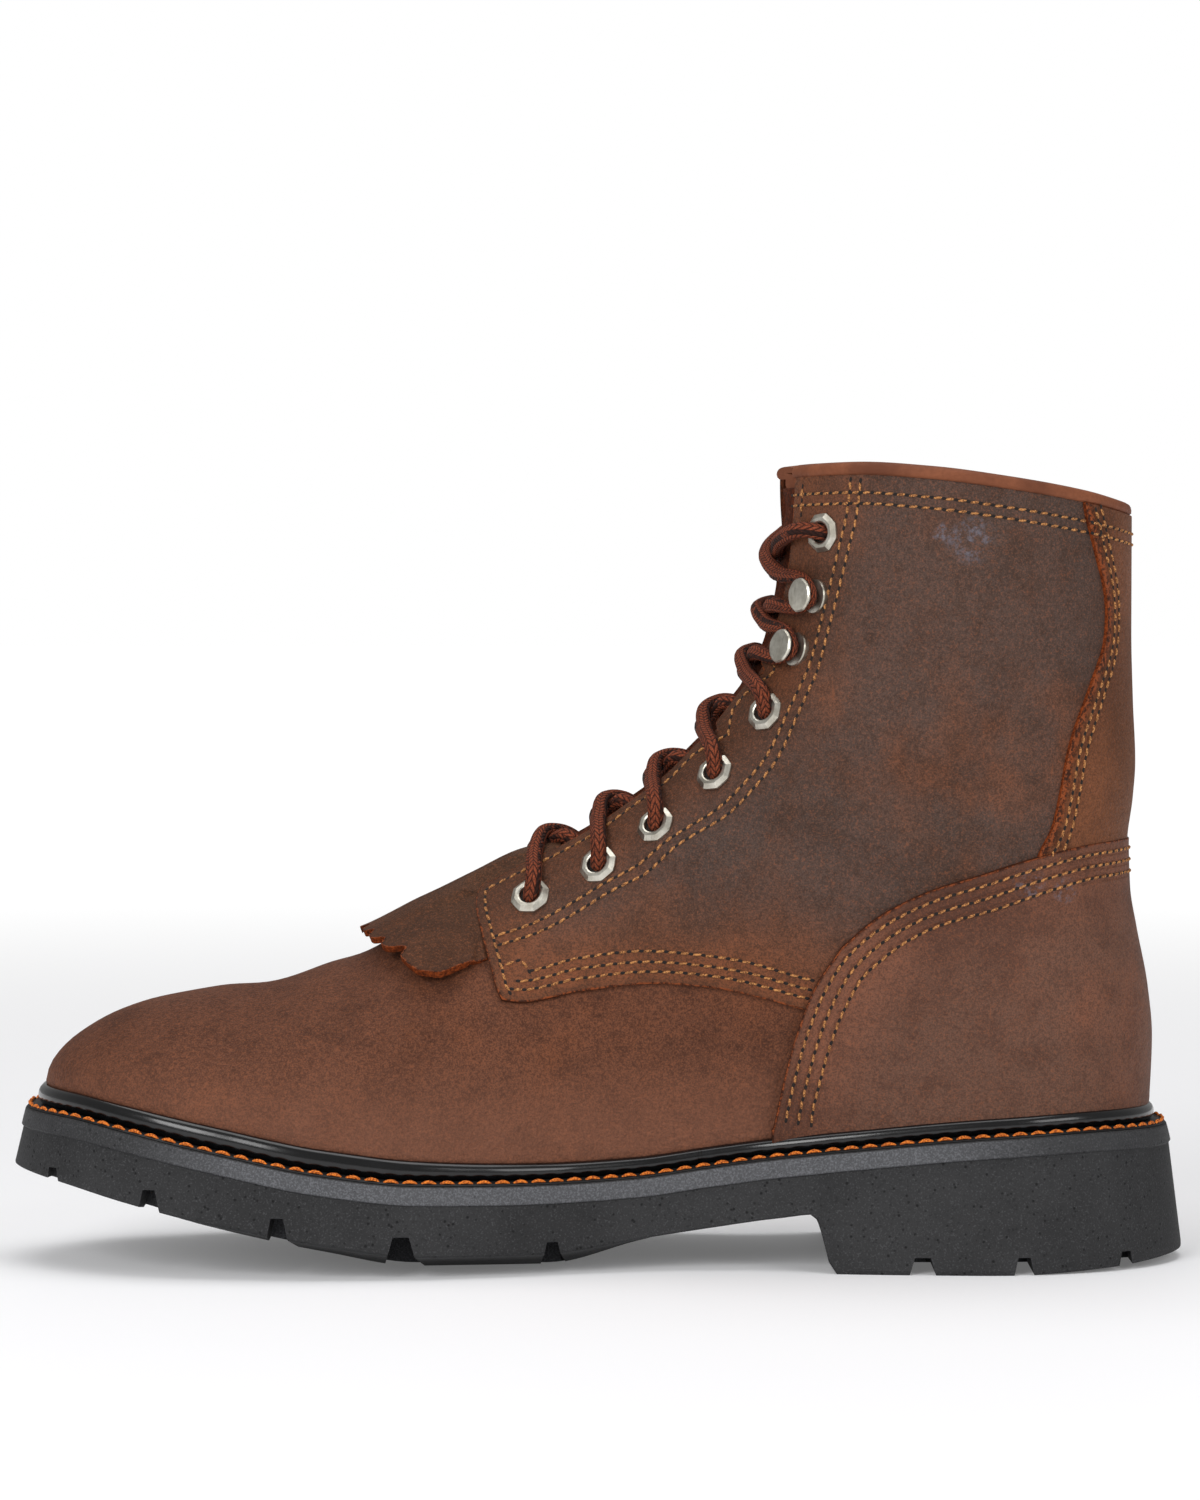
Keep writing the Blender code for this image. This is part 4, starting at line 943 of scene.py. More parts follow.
# %% Lay the tongue
TONGUE_DROP, TONGUE_CROWN, TONGUE_MARGIN, TONGUE_THICK, TONGUE_BEVEL = 3.6, 3.4, 9.0, 2.0, 0.3
TONGUE_FOOT, TONGUE_TOP, TONGUE_GRID = 0.05, 0.985, (48, 130)
CROWN_HALF, CROWN_RISE, RIPPLE = 0.5, (0.01, 0.08), (0.5, 96.0)


def tongue_place(u, v):
    level = THROAT - TONGUE_FOOT + (TONGUE_TOP - THROAT + TONGUE_FOOT) * v
    share = 1 - 2 * u
    _, front_z, _, _ = ring_ends(level)
    reach = np.abs(share) * (lacing_gap(front_z) + TONGUE_MARGIN)
    turn = np.where(share < 0, -turn_at(level, MEDIAL, reach), turn_at(level, LATERAL, reach))
    crown = np.clip(1 - (share / CROWN_HALF) ** 2, 0, 1) * smooth_step(*CROWN_RISE, level - THROAT)
    ripple = RIPPLE[0] * np.sin(level * RIPPLE[1]) * crown
    return skin(level, turn, TONGUE_CROWN * crown + ripple - TONGUE_DROP)


TONGUE_SUEDE = suede("tongue_suede", srgb(98, 48, 28), srgb(48, 24, 16), 0.5)
tongue = sheet("tongue_suede", *TONGUE_GRID, tongue_place)
thicken(tongue, TONGUE_THICK, TONGUE_BEVEL, TONGUE_SUEDE, LINING, CUT_EDGE)
dress(tongue, "tongue_leather", "tongue")

# %% Lay the kiltie
KILTIE_ANGLE, KILTIE_THICK, KILTIE_BEVEL, KILTIE_GRID = 44.5, 1.8, 0.35, (200, 64)
KILTIE_FRONT = ((0.0, -60.4), (12.0, -59.0), (20.0, -56.8), (27.0, -53.8), (31.5, -51.0), (37.0, -48.8),
                (41.5, -46.0), (44.5, -40.5))
KILTIE_BACK, KILTIE_NECK = (-28.8, -10.0), (14.0, 18.0)
KILTIE_RISE = ((0.0, 0.4), (0.1, 1.2), (0.22, 2.4), (0.45, 3.9), (1.0, 6.6))
SCALLOP_ANGLE, SCALLOP_DEPTH, SCALLOP_REACH, SCALLOP_LAST = 9.0, 2.4, 0.82, (35.5, 33.5)
STRIP_RISE, STRIP_CROWN, STRIP_SIDE = 1.2, 2.6, (12.5, 5.0)
FREE_RISE, FREE_FROM, DROOP_FROM, DROOP = 6.0, (-30.5, -37.0), 2.2, 0.5
RIM_SAMPLES, BELOW_RIDGE = 320, 0.02
kiltie_front, kiltie_rise = smooth_curve(*zip(*KILTIE_FRONT)), smooth_curve(*zip(*KILTIE_RISE))


def kiltie_place(u, v):
    angle = KILTIE_ANGLE * (1 - 2 * u)
    wide = np.abs(angle)
    nose = kiltie_front(wide)
    back = KILTIE_BACK[1] + (KILTIE_BACK[0] - KILTIE_BACK[1]) * smooth_step(*KILTIE_NECK, wide)
    notch = np.abs(np.sin(math.pi * angle / SCALLOP_ANGLE)) ** 4 * smooth_step(*SCALLOP_LAST, wide)
    x = nose + (back - nose) * (1 - v) + SCALLOP_DEPTH * notch * smooth_step(SCALLOP_REACH, 1.0, v)
    ridge = ridge_height(x)
    z = ridge - (ridge - widest_line(x)) * (1 - np.cos(np.radians(angle)))
    spots = np.stack([x, np.minimum(z, ridge - BELOW_RIDGE)], axis=1)
    medial, lateral = (on_skin(spots, side) for side in (MEDIAL, LATERAL))
    level, turn = np.where((angle < 0)[:, None], medial, lateral).T
    rise = kiltie_rise((back - x) / (back - nose))
    between_facings = STRIP_RISE + STRIP_CROWN * smooth_step(*STRIP_SIDE, wide)
    rise = np.minimum(rise, between_facings + FREE_RISE * smooth_step(*FREE_FROM, x))
    droop = np.clip(rise - DROOP_FROM, 0, None) * DROOP * (wide / KILTIE_ANGLE) ** 2
    return skin(level, turn, rise - droop)


kiltie = sheet("kiltie_leather", *KILTIE_GRID, kiltie_place)
weld(kiltie)
share = np.linspace(0, 1, RIM_SAMPLES)
zero, one = np.zeros(RIM_SAMPLES), np.ones(RIM_SAMPLES)
mark_edges(kiltie, kiltie_place(share, one), kiltie_place(zero, share), kiltie_place(one, share))
thicken(kiltie, KILTIE_THICK, KILTIE_BEVEL, KILTIE_LEATHER, FLESH, FUZZY_EDGE)
dress(kiltie, "oiled_leather", "kiltie")

# %% [markdown]
# ## The rubber sole
# The outsole is one moulding: a banded side that flares to the ground, a sprung toe, an arch, a heel with
# a straight breast, and notches that part its lugs. One grid gives the whole closed form: its columns go
# round the boot and its rows go from the middle of the top, down the side and under to the middle of the
# tread. The notches are tapered blocks, cut out with a Boolean. The row of the grid stays in the UV map,
# so that the finish knows the band from the side.

# %% Mould the outsole
SOLE_REACH, HEEL_EXTRA, BAND_HEIGHT, BAND_BEVEL = 5.5, 2.0, 5.2, 0.6
FLARE_SIDE, FLARE_TOE, FLARE_HEEL, FLARE_POWER = 0.05, 0.15, 0.1, 8
HEEL_WIDER = (42.0, 52.0, 1.6)
FLAT_SHARE = 0.45
BREAST = (55.4, 60.4)
SOLE_HALF, SOLE_LENGTH = 170, 305.0
BAND_FOOT = (SOLE_REACH + 0.7 * BAND_BEVEL, -BAND_HEIGHT)
SIDE_ROWS = ((-6.0, 0.0), (SOLE_REACH - 0.8, 0.0), (SOLE_REACH - 0.2, -0.25), (SOLE_REACH, -0.9),
             (SOLE_REACH + 0.5, -2.8), (SOLE_REACH + 1.5 * BAND_BEVEL, BAND_BEVEL - BAND_HEIGHT), BAND_FOOT)
FOOT_SHARES, TREAD_SHARES = (0.5, 0.96), (0.985, 0.93, 0.7, FLAT_SHARE, 0.0)
SOLE_ROWS = len(SIDE_ROWS) + len(FOOT_SHARES) + len(TREAD_SHARES)
BAND_ROWS = (3.5, 6.5)


def sole_turns():
    """Turns of the sole's columns, once round the boot, with the heel breast on two of them."""
    half = np.linspace(0, math.pi, SOLE_HALF + 1)
    front_x, _, back_x, _ = (float(end) for end in ring_ends(np.array(0.0)))
    for x in BREAST:
        turn = math.acos(1 - 2 * (x - front_x) / (back_x - front_x))
        half[np.argmin(np.abs(half - turn))] = turn
    return np.concatenate([2 * math.pi - half, half[::-1][1:]])


def round_sole(turn, reach, height):
    """Loop round the boot at a reach from its widest line and a height over the sole's top."""
    return welt_line(turn, np.full_like(turn, reach), np.full_like(turn, height), HEEL_EXTRA)


def sole_foot(turn):
    """Loop of the tread's outer edge, flared out from the band."""
    rim = round_sole(turn, SOLE_REACH, 0.0)
    end = np.clip(np.abs(rim[:, 0]) / (SOLE_LENGTH / 2), 0, 1) ** FLARE_POWER
    slope = FLARE_SIDE + (np.where(rim[:, 0] < 0, FLARE_TOE, FLARE_HEEL) - FLARE_SIDE) * end
    wider = HEEL_WIDER[2] * smooth_step(*HEEL_WIDER[:2], rim[:, 0]) * (1 - end)
    depth = sole_top(rim[:, 0]) - sole_edge(rim[:, 0])
    foot = welt_line(turn, SOLE_REACH + BAND_BEVEL + slope * depth + wider, np.zeros_like(turn), HEEL_EXTRA)
    foot[:, 2] = sole_edge(foot[:, 0])
    return foot


def sole_rows(turn):
    """Loops of the sole's grid: middle of the top, side, foot of the side, and tread to its middle."""
    centre = bare_skin(np.zeros_like(turn), turn)
    centre[:, 1] = axis_at(centre[:, 0])
    centre[:, 2] = sole_top(centre[:, 0])
    sides = [round_sole(turn, *row) for row in SIDE_ROWS]
    foot = sole_foot(turn)
    rows = [centre, *sides, *(sides[-1] + (foot - sides[-1]) * share for share in FOOT_SHARES)]
    for share in TREAD_SHARES:
        flat = centre + (foot - centre) * share
        sunk = np.clip((share - FLAT_SHARE) / (1 - FLAT_SHARE), 0, 1)
        flat[:, 2] = sole_middle(flat[:, 0]) + (sole_edge(flat[:, 0]) - sole_middle(flat[:, 0])) * sunk
        rows.append(flat)
    return np.stack(rows)


SOLE_TURNS = sole_turns()


def mould(u, v):
    rows = sole_rows(SOLE_TURNS)
    return rows[np.rint(v * SOLE_ROWS).astype(int), np.rint(u * (len(SOLE_TURNS) - 1)).astype(int)]


outsole = sheet("outsole_rubber", len(SOLE_TURNS) - 1, SOLE_ROWS, mould)
weld(outsole)

# %% Cut the lugs
Groove = namedtuple("Groove", "x width depth")
GROOVES = (Groove(-141.0, 3.0, 3.0), Groove(-115.0, 4.6, 5.0), Groove(-82.0, 4.6, 5.0),
           Groove(-50.5, 6.0, 5.0), Groove(-12.0, 4.0, 3.0), Groove(83.0, 6.0, 4.5), Groove(109.0, 4.6, 4.5),
           Groove(136.0, 3.4, 3.5))
GROOVE_SPINE, GROOVE_END, GROOVE_DROP = 17.0, 75.0, 8.0
GROOVE_MOUTH, GROOVE_TAPER = 0.95, 0.36


def groove_block(groove, side):
    """Tapered block that cuts one notch, from beside the middle of the tread out past its edge."""
    foot = float(sole_edge(groove.x))
    low, roof = foot - GROOVE_DROP, foot + groove.depth
    bpy.ops.object.select_all(action="DESELECT")
    middle = side * (GROOVE_SPINE + GROOVE_END) / 2
    bpy.ops.mesh.primitive_cube_add(size=2 * MM, location=(groove.x * MM, middle * MM, (low + roof) / 2 * MM))
    block = bpy.context.object
    block.scale = (groove.width * GROOVE_MOUTH, (GROOVE_END - GROOVE_SPINE) / 2, (roof - low) / 2)
    bpy.ops.object.transform_apply(location=True, scale=True)
    bpy.ops.object.mode_set(mode="EDIT")
    bpy.ops.mesh.select_all(action="DESELECT")
    bpy.ops.object.mode_set(mode="OBJECT")
    for face in block.data.polygons:
        face.select = face.normal.z > 0.5
    bpy.ops.object.mode_set(mode="EDIT")
    bpy.ops.mesh.select_mode(type="FACE")
    bpy.ops.transform.resize(value=(GROOVE_TAPER, 1.0, 1.0))
    bpy.ops.object.mode_set(mode="OBJECT")
    return block


blocks = [groove_block(groove, side) for groove in GROOVES for side in SIDES.values()]
cutter = join(*blocks)
apply_modifier(outsole, "BOOLEAN", object=cutter, operation="DIFFERENCE", solver="EXACT")
bpy.data.objects.remove(cutter)


def sole_rubber():
    made, shader, tree, place = new_finish("sole_rubber", Specular_IOR_Level=0.22)
    row = tree.node("UVMap", {"uv_map": "UVMap"}).split()[1] * SOLE_ROWS
    band = row.ramp(BAND_ROWS[0] - 0.5, BAND_ROWS[0]) * (1 - row.ramp(BAND_ROWS[1] - 0.1, BAND_ROWS[1]))
    x = place.split()[0]
    # Painted sheen: the band is painted a lighter grey, strongest along the middle of the boot and fading
    # towards toe and heel, where the lamps' reflection would lie on it.
    painted_band_sheen = x.ramp(-0.125, -0.085) * (1 - x.ramp(0.08, 0.125)) * 0.75 + 0.1
    grit, coarse = tree.noise(place, 2000.0, 2.0, 0.6), tree.noise(place, 900.0, 3.0, 0.7)
    cloud = tree.noise(place, 35.0, 4.0, 0.6)
    speck = tree.node("TexVoronoi", {"feature": "F1"}, {"Vector": place, "Scale": 560.0})
    pits = (1 - speck.ramp(0.12, 0.28)) * tree.noise(place, 240.0, 2.0).ramp(0.42, 0.56)
    colour = tree.layered(
        srgb(39, 39, 40), (cloud.ramp(0.3, 0.7), srgb(49, 49, 50)),
        (grit.ramp(0.52, 0.72) * 0.45, srgb(82, 82, 84)), (coarse.ramp(0.54, 0.72) * 0.55, srgb(24, 24, 25)),
        (pits * 0.85, srgb(12, 12, 13)),
        (band * painted_band_sheen * (0.45 + grit.ramp(0.42, 0.66) * 0.55), srgb(104, 105, 109)))
    height = grit * (0.5 + band * 1.2) + coarse * 0.6 - pits * 0.8
    feed(shader, Base_Color=colour, Roughness=0.7 - band * 0.15, Normal=tree.bump(height, 0.14))
    return made


outsole.data.materials.clear()
dress(outsole, "sole_rubber", "outsole", finish=sole_rubber(), angle=30.0)

# %% [markdown]
# ## Welt and footbed
# The welt is a strip of black rubber sewn to the upper: a flat ledge on the sole and a round, polished
# bead that keeps water out of the joint. Both are sections swept once round the boot. The ends of the
# strip butt together at the waist, on the inner side.

# %% Sweep the welt
BEAD_RADIUS, BEAD_OFFSET, BEAD_HEIGHT = 1.95, 0.1, 2.6
LEDGE_REACH, LEDGE_INNER, LEDGE_SEAT, LEDGE_TOP = 4.8, -7.4, -0.3, 0.75
WELT_COLUMNS, BEAD_SIDES = 360, 18
LEDGE_SECTION = ((LEDGE_INNER, LEDGE_SEAT), (LEDGE_REACH, LEDGE_SEAT), (LEDGE_REACH + 0.2, 0.1),
                 (LEDGE_REACH - 0.3, LEDGE_TOP - 0.1), (LEDGE_REACH - 1.0, LEDGE_TOP),
                 (LEDGE_INNER, LEDGE_TOP + 0.2), (LEDGE_INNER, LEDGE_SEAT))
BUTT_X, BUTT_HALF = 26.0, 0.5


def swept_round(section):
    """Grid function that sweeps a section of (reach, height) points round the foot of the boot."""
    section = np.asarray(section)

    def place(u, v):
        reach, height = section[np.rint(v * (len(section) - 1)).astype(int)].T
        points = welt_line(2 * math.pi * (1 - u), reach, height, HEEL_EXTRA)
        points[:, 2] += bead_lift(points[:, 0]) * np.maximum(height - LEDGE_TOP, 0) / (2 * BEAD_RADIUS)
        return points

    return place


def welt_rubber(name, gloss):
    made, shader, tree, place = new_finish(name, Specular_IOR_Level=0.25, Coat_Roughness=0.14)
    x, y, _ = place.split()
    apart = (x - BUTT_X * MM) / (BUTT_HALF * MM)
    butt = (1 - (apart * apart).ramp(0.2, 1.0)) * (1 - y.ramp(-0.002, 0.0))
    dust = tree.noise(place, 160.0, 5.0, 0.7)
    fine = tree.noise(place, 1400.0, 3.0, 0.6)
    colour = tree.mix(dust.ramp(0.5, 0.8) * 0.3, srgb(6, 6, 7), srgb(28, 29, 32))
    feed(shader, Base_Color=tree.mix(butt, colour, srgb(4, 4, 4)), Roughness=1 - gloss + dust * 0.15,
         Coat_Weight=gloss * 0.75 - dust.ramp(0.4, 0.9) * 0.2,
         Normal=tree.bump(fine * 0.3 + dust * 0.4 - butt * 3, 0.08))
    return made


circle = np.linspace(0, 2 * math.pi, BEAD_SIDES + 1)
BEAD_SECTION = np.stack([BEAD_OFFSET + BEAD_RADIUS * np.cos(circle),
                         BEAD_HEIGHT + BEAD_RADIUS * np.sin(circle)], axis=1)
for name, section, gloss in (("welt_bead", BEAD_SECTION, 0.84), ("welt_ledge", LEDGE_SECTION, 0.3)):
    strip = sheet(name, WELT_COLUMNS, len(section) - 1, swept_round(section))
    weld(strip)
    dress(strip, "welt_rubber", "welt", finish=welt_rubber(name + "_rubber", gloss), angle=45.0)

FOOTBED = leather_plain("footbed_leather", srgb(158, 122, 84), srgb(126, 94, 62))
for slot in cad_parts["insole"].material_slots:
    slot.material = FOOTBED

# %% [markdown]
# ## Eyelets and hooks
# The eyelets are pressed from nickelled brass: a round flange with an eight-sided bevel round a barrel,
# whose hole is closed by a black disc of painted shade. The hooks are riveted spools. Both are turned
# shapes: a circle is extruded ring by ring and resized, as on a lathe, and one model of each is copied to
# its places on the facings.

# %% Turn the metal
Ring = namedtuple("Ring", "radius height")
EYELET = (Ring(2.55, -0.6), Ring(2.55, 0.7), Ring(2.75, 1.15), Ring(3.1, 1.3), Ring(3.95, 1.3),
          Ring(5.05, 0.35), Ring(5.1, 0.1), Ring(5.1, -0.25))
HOOK = (Ring(4.4, -0.9), Ring(4.45, 0.2), Ring(4.3, 0.6), Ring(3.4, 0.75), Ring(2.3, 1.2), Ring(1.7, 1.9),
        Ring(1.4, 2.7), Ring(1.4, 3.8), Ring(2.4, 4.3), Ring(4.0, 4.6), Ring(4.4, 4.8), Ring(4.4, 5.15),
        Ring(4.0, 5.5), Ring(2.2, 5.7), Ring(0.01, 5.72))
PRESSED_SIDES, PRESSED_FROM, PRESSED_GROWTH = 8, 3.9, 1.04
EYELET_PRESS, HOOK_PRESS = (-0.5, 0.75), (4.5, 0.3)
TURNED_SIDES, SHADE_DISC_SIDES, SHADE_DISC_RADIUS, SHADE_DISC_HEIGHT = 48, 24, 2.6, 0.12


def turned(name, profile):
    """A turned shape: a circle extruded and resized along a profile."""
    bpy.ops.object.select_all(action="DESELECT")
    start = profile[0]
    bpy.ops.mesh.primitive_circle_add(vertices=TURNED_SIDES, radius=start.radius * MM,
                                      location=(0, 0, start.height * MM))
    piece = bpy.context.object
    piece.name = piece.data.name = name
    bpy.ops.object.transform_apply(location=True)
    bpy.ops.object.mode_set(mode="EDIT")
    bpy.ops.mesh.select_all(action="SELECT")
    for last, ring in zip(profile, profile[1:]):
        rise = (ring.height - last.height) * MM
        bpy.ops.mesh.extrude_edges_move(TRANSFORM_OT_translate={"value": (0, 0, rise)})
        grow = ring.radius / last.radius
        bpy.ops.transform.resize(value=(grow, grow, 1.0))
    bpy.ops.object.mode_set(mode="OBJECT")
    weld(piece)
    return piece


def nickel():
    made, shader, tree, place = new_finish("nickel", Metallic=1.0)
    cloud = tree.noise(place, 260.0, 4.0, 0.6)
    brush = tree.noise(place, 1500.0, 3.0, 0.7, (1.0, 1.0, 0.15))
    colour = tree.layered(srgb(214, 210, 198), (cloud.ramp(0.3, 0.75), srgb(168, 162, 148)),
                          (brush.ramp(0.55, 0.8) * 0.5, srgb(120, 112, 98)))
    feed(shader, Base_Color=colour, Roughness=0.24 + brush * 0.22, Normal=tree.bump(brush + cloud, 0.03))
    return made


# Near-black finish of painted shade, for the disc that closes each eyelet's hole and for the needle holes.
def painted_hole_shade():
    made, shader, tree, place = new_finish("painted_hole_shade", Roughness=0.9)
    feed(shader, Base_Color=tree.mix(tree.noise(place, 900.0), srgb(14, 10, 8), srgb(30, 20, 15)))
    return made


def pressed(piece, low, share):
    """Presses the wide rings above a height towards an eight-sided outline."""
    points = points_of(piece)
    radius, turn = np.hypot(points[:, 0], points[:, 1]), np.arctan2(points[:, 1], points[:, 0])
    flat = math.pi / PRESSED_SIDES
    sides = 1 + share * (math.cos(flat) / np.cos((turn % (2 * flat)) - flat) * PRESSED_GROWTH - 1)
    wide = (radius > PRESSED_FROM) & (points[:, 2] > low)
    points[wide, :2] *= sides[wide, None]
    move_points(piece, points)


eyelet = turned("eyelet", EYELET)
pressed(eyelet, *EYELET_PRESS)
# A black disc closes the eyelet's hole: painted shade where the hole goes dark.
bpy.ops.object.select_all(action="DESELECT")
bpy.ops.mesh.primitive_circle_add(vertices=SHADE_DISC_SIDES, radius=SHADE_DISC_RADIUS * MM, fill_type="NGON",
                                  location=(0, 0, SHADE_DISC_HEIGHT * MM))
shade_disc = bpy.context.object
bpy.ops.object.transform_apply(location=True)
NICKEL = nickel()
eyelet.data.materials.append(NICKEL)
eyelet.data.materials.append(painted_hole_shade())
shade_disc.data.materials.append(eyelet.data.materials[1])
only(eyelet)
shade_disc.select_set(True)
bpy.ops.object.join()
hook = turned("hook", HOOK)
pressed(hook, *HOOK_PRESS)
hook.data.materials.append(NICKEL)
print("eyelet", len(eyelet.data.polygons), "faces, hook", len(hook.data.polygons))

# %% Set the metal
Lacing = namedtuple("Lacing", "x z kind")
LACING = (Lacing(-17.5, 94.9, "eyelet"), Lacing(0.4, 103.4, "eyelet"), Lacing(15.5, 113.5, "eyelet"),
          Lacing(30.8, 127.2, "eyelet"), Lacing(44.1, 143.1, "eyelet"), Lacing(52.0, 159.6, "hook"),
          Lacing(56.8, 173.6, "hook"), Lacing(58.7, 190.1, "eyelet"))
METAL_SEAT, HOOK_LEAN = QUARTER_OUT + 0.15, 0.3
UPWARD = (0.35, 0.0, 0.94)


def spot(x, z, side, out=0.0):
    """Point over the boot at a place of its side view."""
    level, turn = on_skin([(x, z)], side).T
    return skin(level, turn, out)[0]


def facing_axes(row, side):
    """Directions across the facing, up it and out of it, at a lacing place."""
    normal = unit(spot(row.x, row.z, side, 1.0) - spot(row.x, row.z, side))
    if row.kind == "hook":
        normal = unit(normal - (HOOK_LEAN, 0.0, 0.0))
    across = unit(np.cross(UPWARD, normal))
    return across, np.cross(normal, across), normal


def set_metal(model, name, row, side):
    piece = model.copy()
    piece.data = model.data.copy()
    bpy.context.collection.objects.link(piece)
    piece.name = piece.data.name = name + "_nickel"
    axes = np.array(facing_axes(row, side))
    move_points(piece, spot(row.x, row.z, side, METAL_SEAT) + points_of(piece) @ axes)
    return dress(piece, "nickel", name, angle=14.0)


models = {"eyelet": eyelet, "hook": hook}
for name, side in SIDES.items():
    count = dict.fromkeys(models, 0)
    for row in LACING:
        count[row.kind] += 1
        set_metal(models[row.kind], f"{row.kind}_{name}_{count[row.kind]}", row, side)
for model in models.values():
    bpy.data.objects.remove(model)

# %% [markdown]
# ## The lace
# One round braided lace closes the boot. It comes up through each eyelet, passes over the edge of the
# facing, crosses the gap and dives under the other facing to the next eyelet. It goes round the necks of
# the hooks and ends inside the top eyelets. Its two halves are tubes along given points. A grid is
# rolled round each path, so that its UV map follows the cord, and the braid is worked out from that map.

# %% Run the lace
LACE_RADIUS, CROSS_SQUEEZE, HOOK_SQUEEZE = 2.1, 1.85, 1.3
LACE_STEP, LACE_SIDES = 1.1, 16
INSIDE, OVER_RIM, OVER_FACING = -3.3, 2.9, 2.8
CROSS_UNDER, CROSS_OVER = 0.4, 3.7
NECK_HEIGHT, NECK_REACH = 3.2, 2.5
NECK_ANGLES = np.radians((-75, -25, 25, 75))
BARREL_OUT, EYELET_CLIMB, TOP_LEAN, TOP_SINK = 1.2, 2.6, 2.2, 0.6
GapStop = namedtuple("GapStop", "climb share out")
OFF_EYELET, OFF_HOOK = GapStop(0.34, 1.0, OVER_FACING), GapStop(0.3, 0.9, OVER_FACING)
TO_HOOK, TO_TOP = GapStop(0.72, -0.9, OVER_FACING), GapStop(0.85, -0.95, OVER_FACING + 0.6)
DIVE, BEHIND = GapStop(0.78, -0.66, 1.3), GapStop(0.92, -1.06, INSIDE)
CROSS_CLIMB, RUN_STEP, GAP_DEPTH, GAP_SAMPLES = 0.55, 3, 14.0, 200
ROUTE_SAMPLES = 2400
BRAID_PITCH, BRAID_COLUMNS, BRAID_BLACK = 1.6, 10.0, 2.5
BRAID_GROOVE_SHADE = srgb(30, 12, 7)


def ridge_place(row):
    """Distance along the front ridge nearest to a lacing place."""
    return RIDGE_ARC[np.argmin(np.hypot(RIDGE_X - row.x, RIDGE_Z - row.z))]


def gap_point(arc, share, out):
    """Point over the lacing gap: shares -1 and 1 are its medial and lateral edges."""
    before, (x, z), after = ([np.interp(place, RIDGE_ARC, ridge) for ridge in (RIDGE_X, RIDGE_Z)]
                             for place in (arc - RUN_STEP, arc, arc + RUN_STEP))
    run = np.subtract(after, before)
    outward = np.array([-run[1], run[0]]) / np.hypot(*run)
    side = MEDIAL if share < 0 else LATERAL
    target = abs(share) * lacing_gap(z)
    depths = np.linspace(0.0, GAP_DEPTH, GAP_SAMPLES)
    widths = half_width(x - outward[0] * depths, z - outward[1] * depths, np.array(side))
    depth = np.interp(target, np.maximum.accumulate(widths), depths) - out
    return np.array([x - outward[0] * depth, side * target, z - outward[1] * depth])


def round_neck(row, side):
    """Points round the neck of a hook, from below it over the heel side to above it."""
    across, up, normal = facing_axes(row, side)
    heelward = across * np.sign(across[0])
    centre = spot(row.x, row.z, side, QUARTER_OUT + NECK_HEIGHT)
    return [centre + NECK_REACH * (heelward * math.cos(a) + up * math.sin(a)) for a in NECK_ANGLES]


def lace_points(side):
    """Points of one half of the lace, from a bottom eyelet, and its radius at each."""
    points, radii = [], []

    def add(new, radius=LACE_RADIUS):
        points.extend(new)
        radii.extend([radius] * len(new))

    for row, following in zip(LACING, LACING[1:]):
        low, high = ridge_place(row), ridge_place(following)
        crossing = CROSS_OVER if side == MEDIAL else CROSS_UNDER

        def over_gap(stop):
            return gap_point(low + (high - low) * stop.climb, stop.share * side, stop.out)

        if row.kind == "eyelet":
            upward = facing_axes(row, side)[1]
            add([spot(row.x, row.z, side, INSIDE), spot(row.x, row.z, side, BARREL_OUT),
                 spot(row.x, row.z, side, QUARTER_OUT + OVER_RIM) + upward * EYELET_CLIMB])
            add([over_gap(OFF_EYELET)])
        else:
            add(round_neck(row, side), HOOK_SQUEEZE)
            add([over_gap(OFF_HOOK)])
        add([over_gap(GapStop(CROSS_CLIMB, 0.0, crossing))], CROSS_SQUEEZE)
        if following.kind == "hook":
            add([over_gap(TO_HOOK)])
        elif following is LACING[-1]:
            add([over_gap(TO_TOP)])
        else:
            add([over_gap(DIVE), over_gap(BEHIND)])
        side = -side
    top = LACING[-1]
    across = facing_axes(top, side)[0]
    lean = -across * np.sign(across[0]) * TOP_LEAN
    add([spot(top.x, top.z, side, QUARTER_OUT + OVER_RIM - TOP_SINK) + lean,
         spot(top.x, top.z, side, BARREL_OUT), spot(top.x, top.z, side, INSIDE)])
    return np.column_stack([points, radii])


def frames_along(path):
    """Two directions square to a path at each of its points, turning with it as little as possible."""
    run = unit(np.gradient(path, axis=0))
    side = unit(np.cross(run[0], UPWARD))
    sides = []
    for direction in run:
        side = unit(side - direction * side.dot(direction))
        sides.append(side)
    sides = np.array(sides)
    return sides, np.cross(run, sides)


def cord(name, path, radii, sides):
    """A tube along a path, its ends closed."""
    first, second = frames_along(path)
    columns = len(path) + 1

    def roll(u, v):
        along, closing = swept_ends(u, columns)
        station = np.rint(along * (len(path) - 1)).astype(int)
        turn = -2 * math.pi * v[:, None]
        radius = np.where(closing, 0.0, radii[station])[:, None]
        return path[station] + radius * (first[station] * np.cos(turn) + second[station] * np.sin(turn))

    piece = sheet(name, columns, sides, roll)
    weld(piece)
    return piece


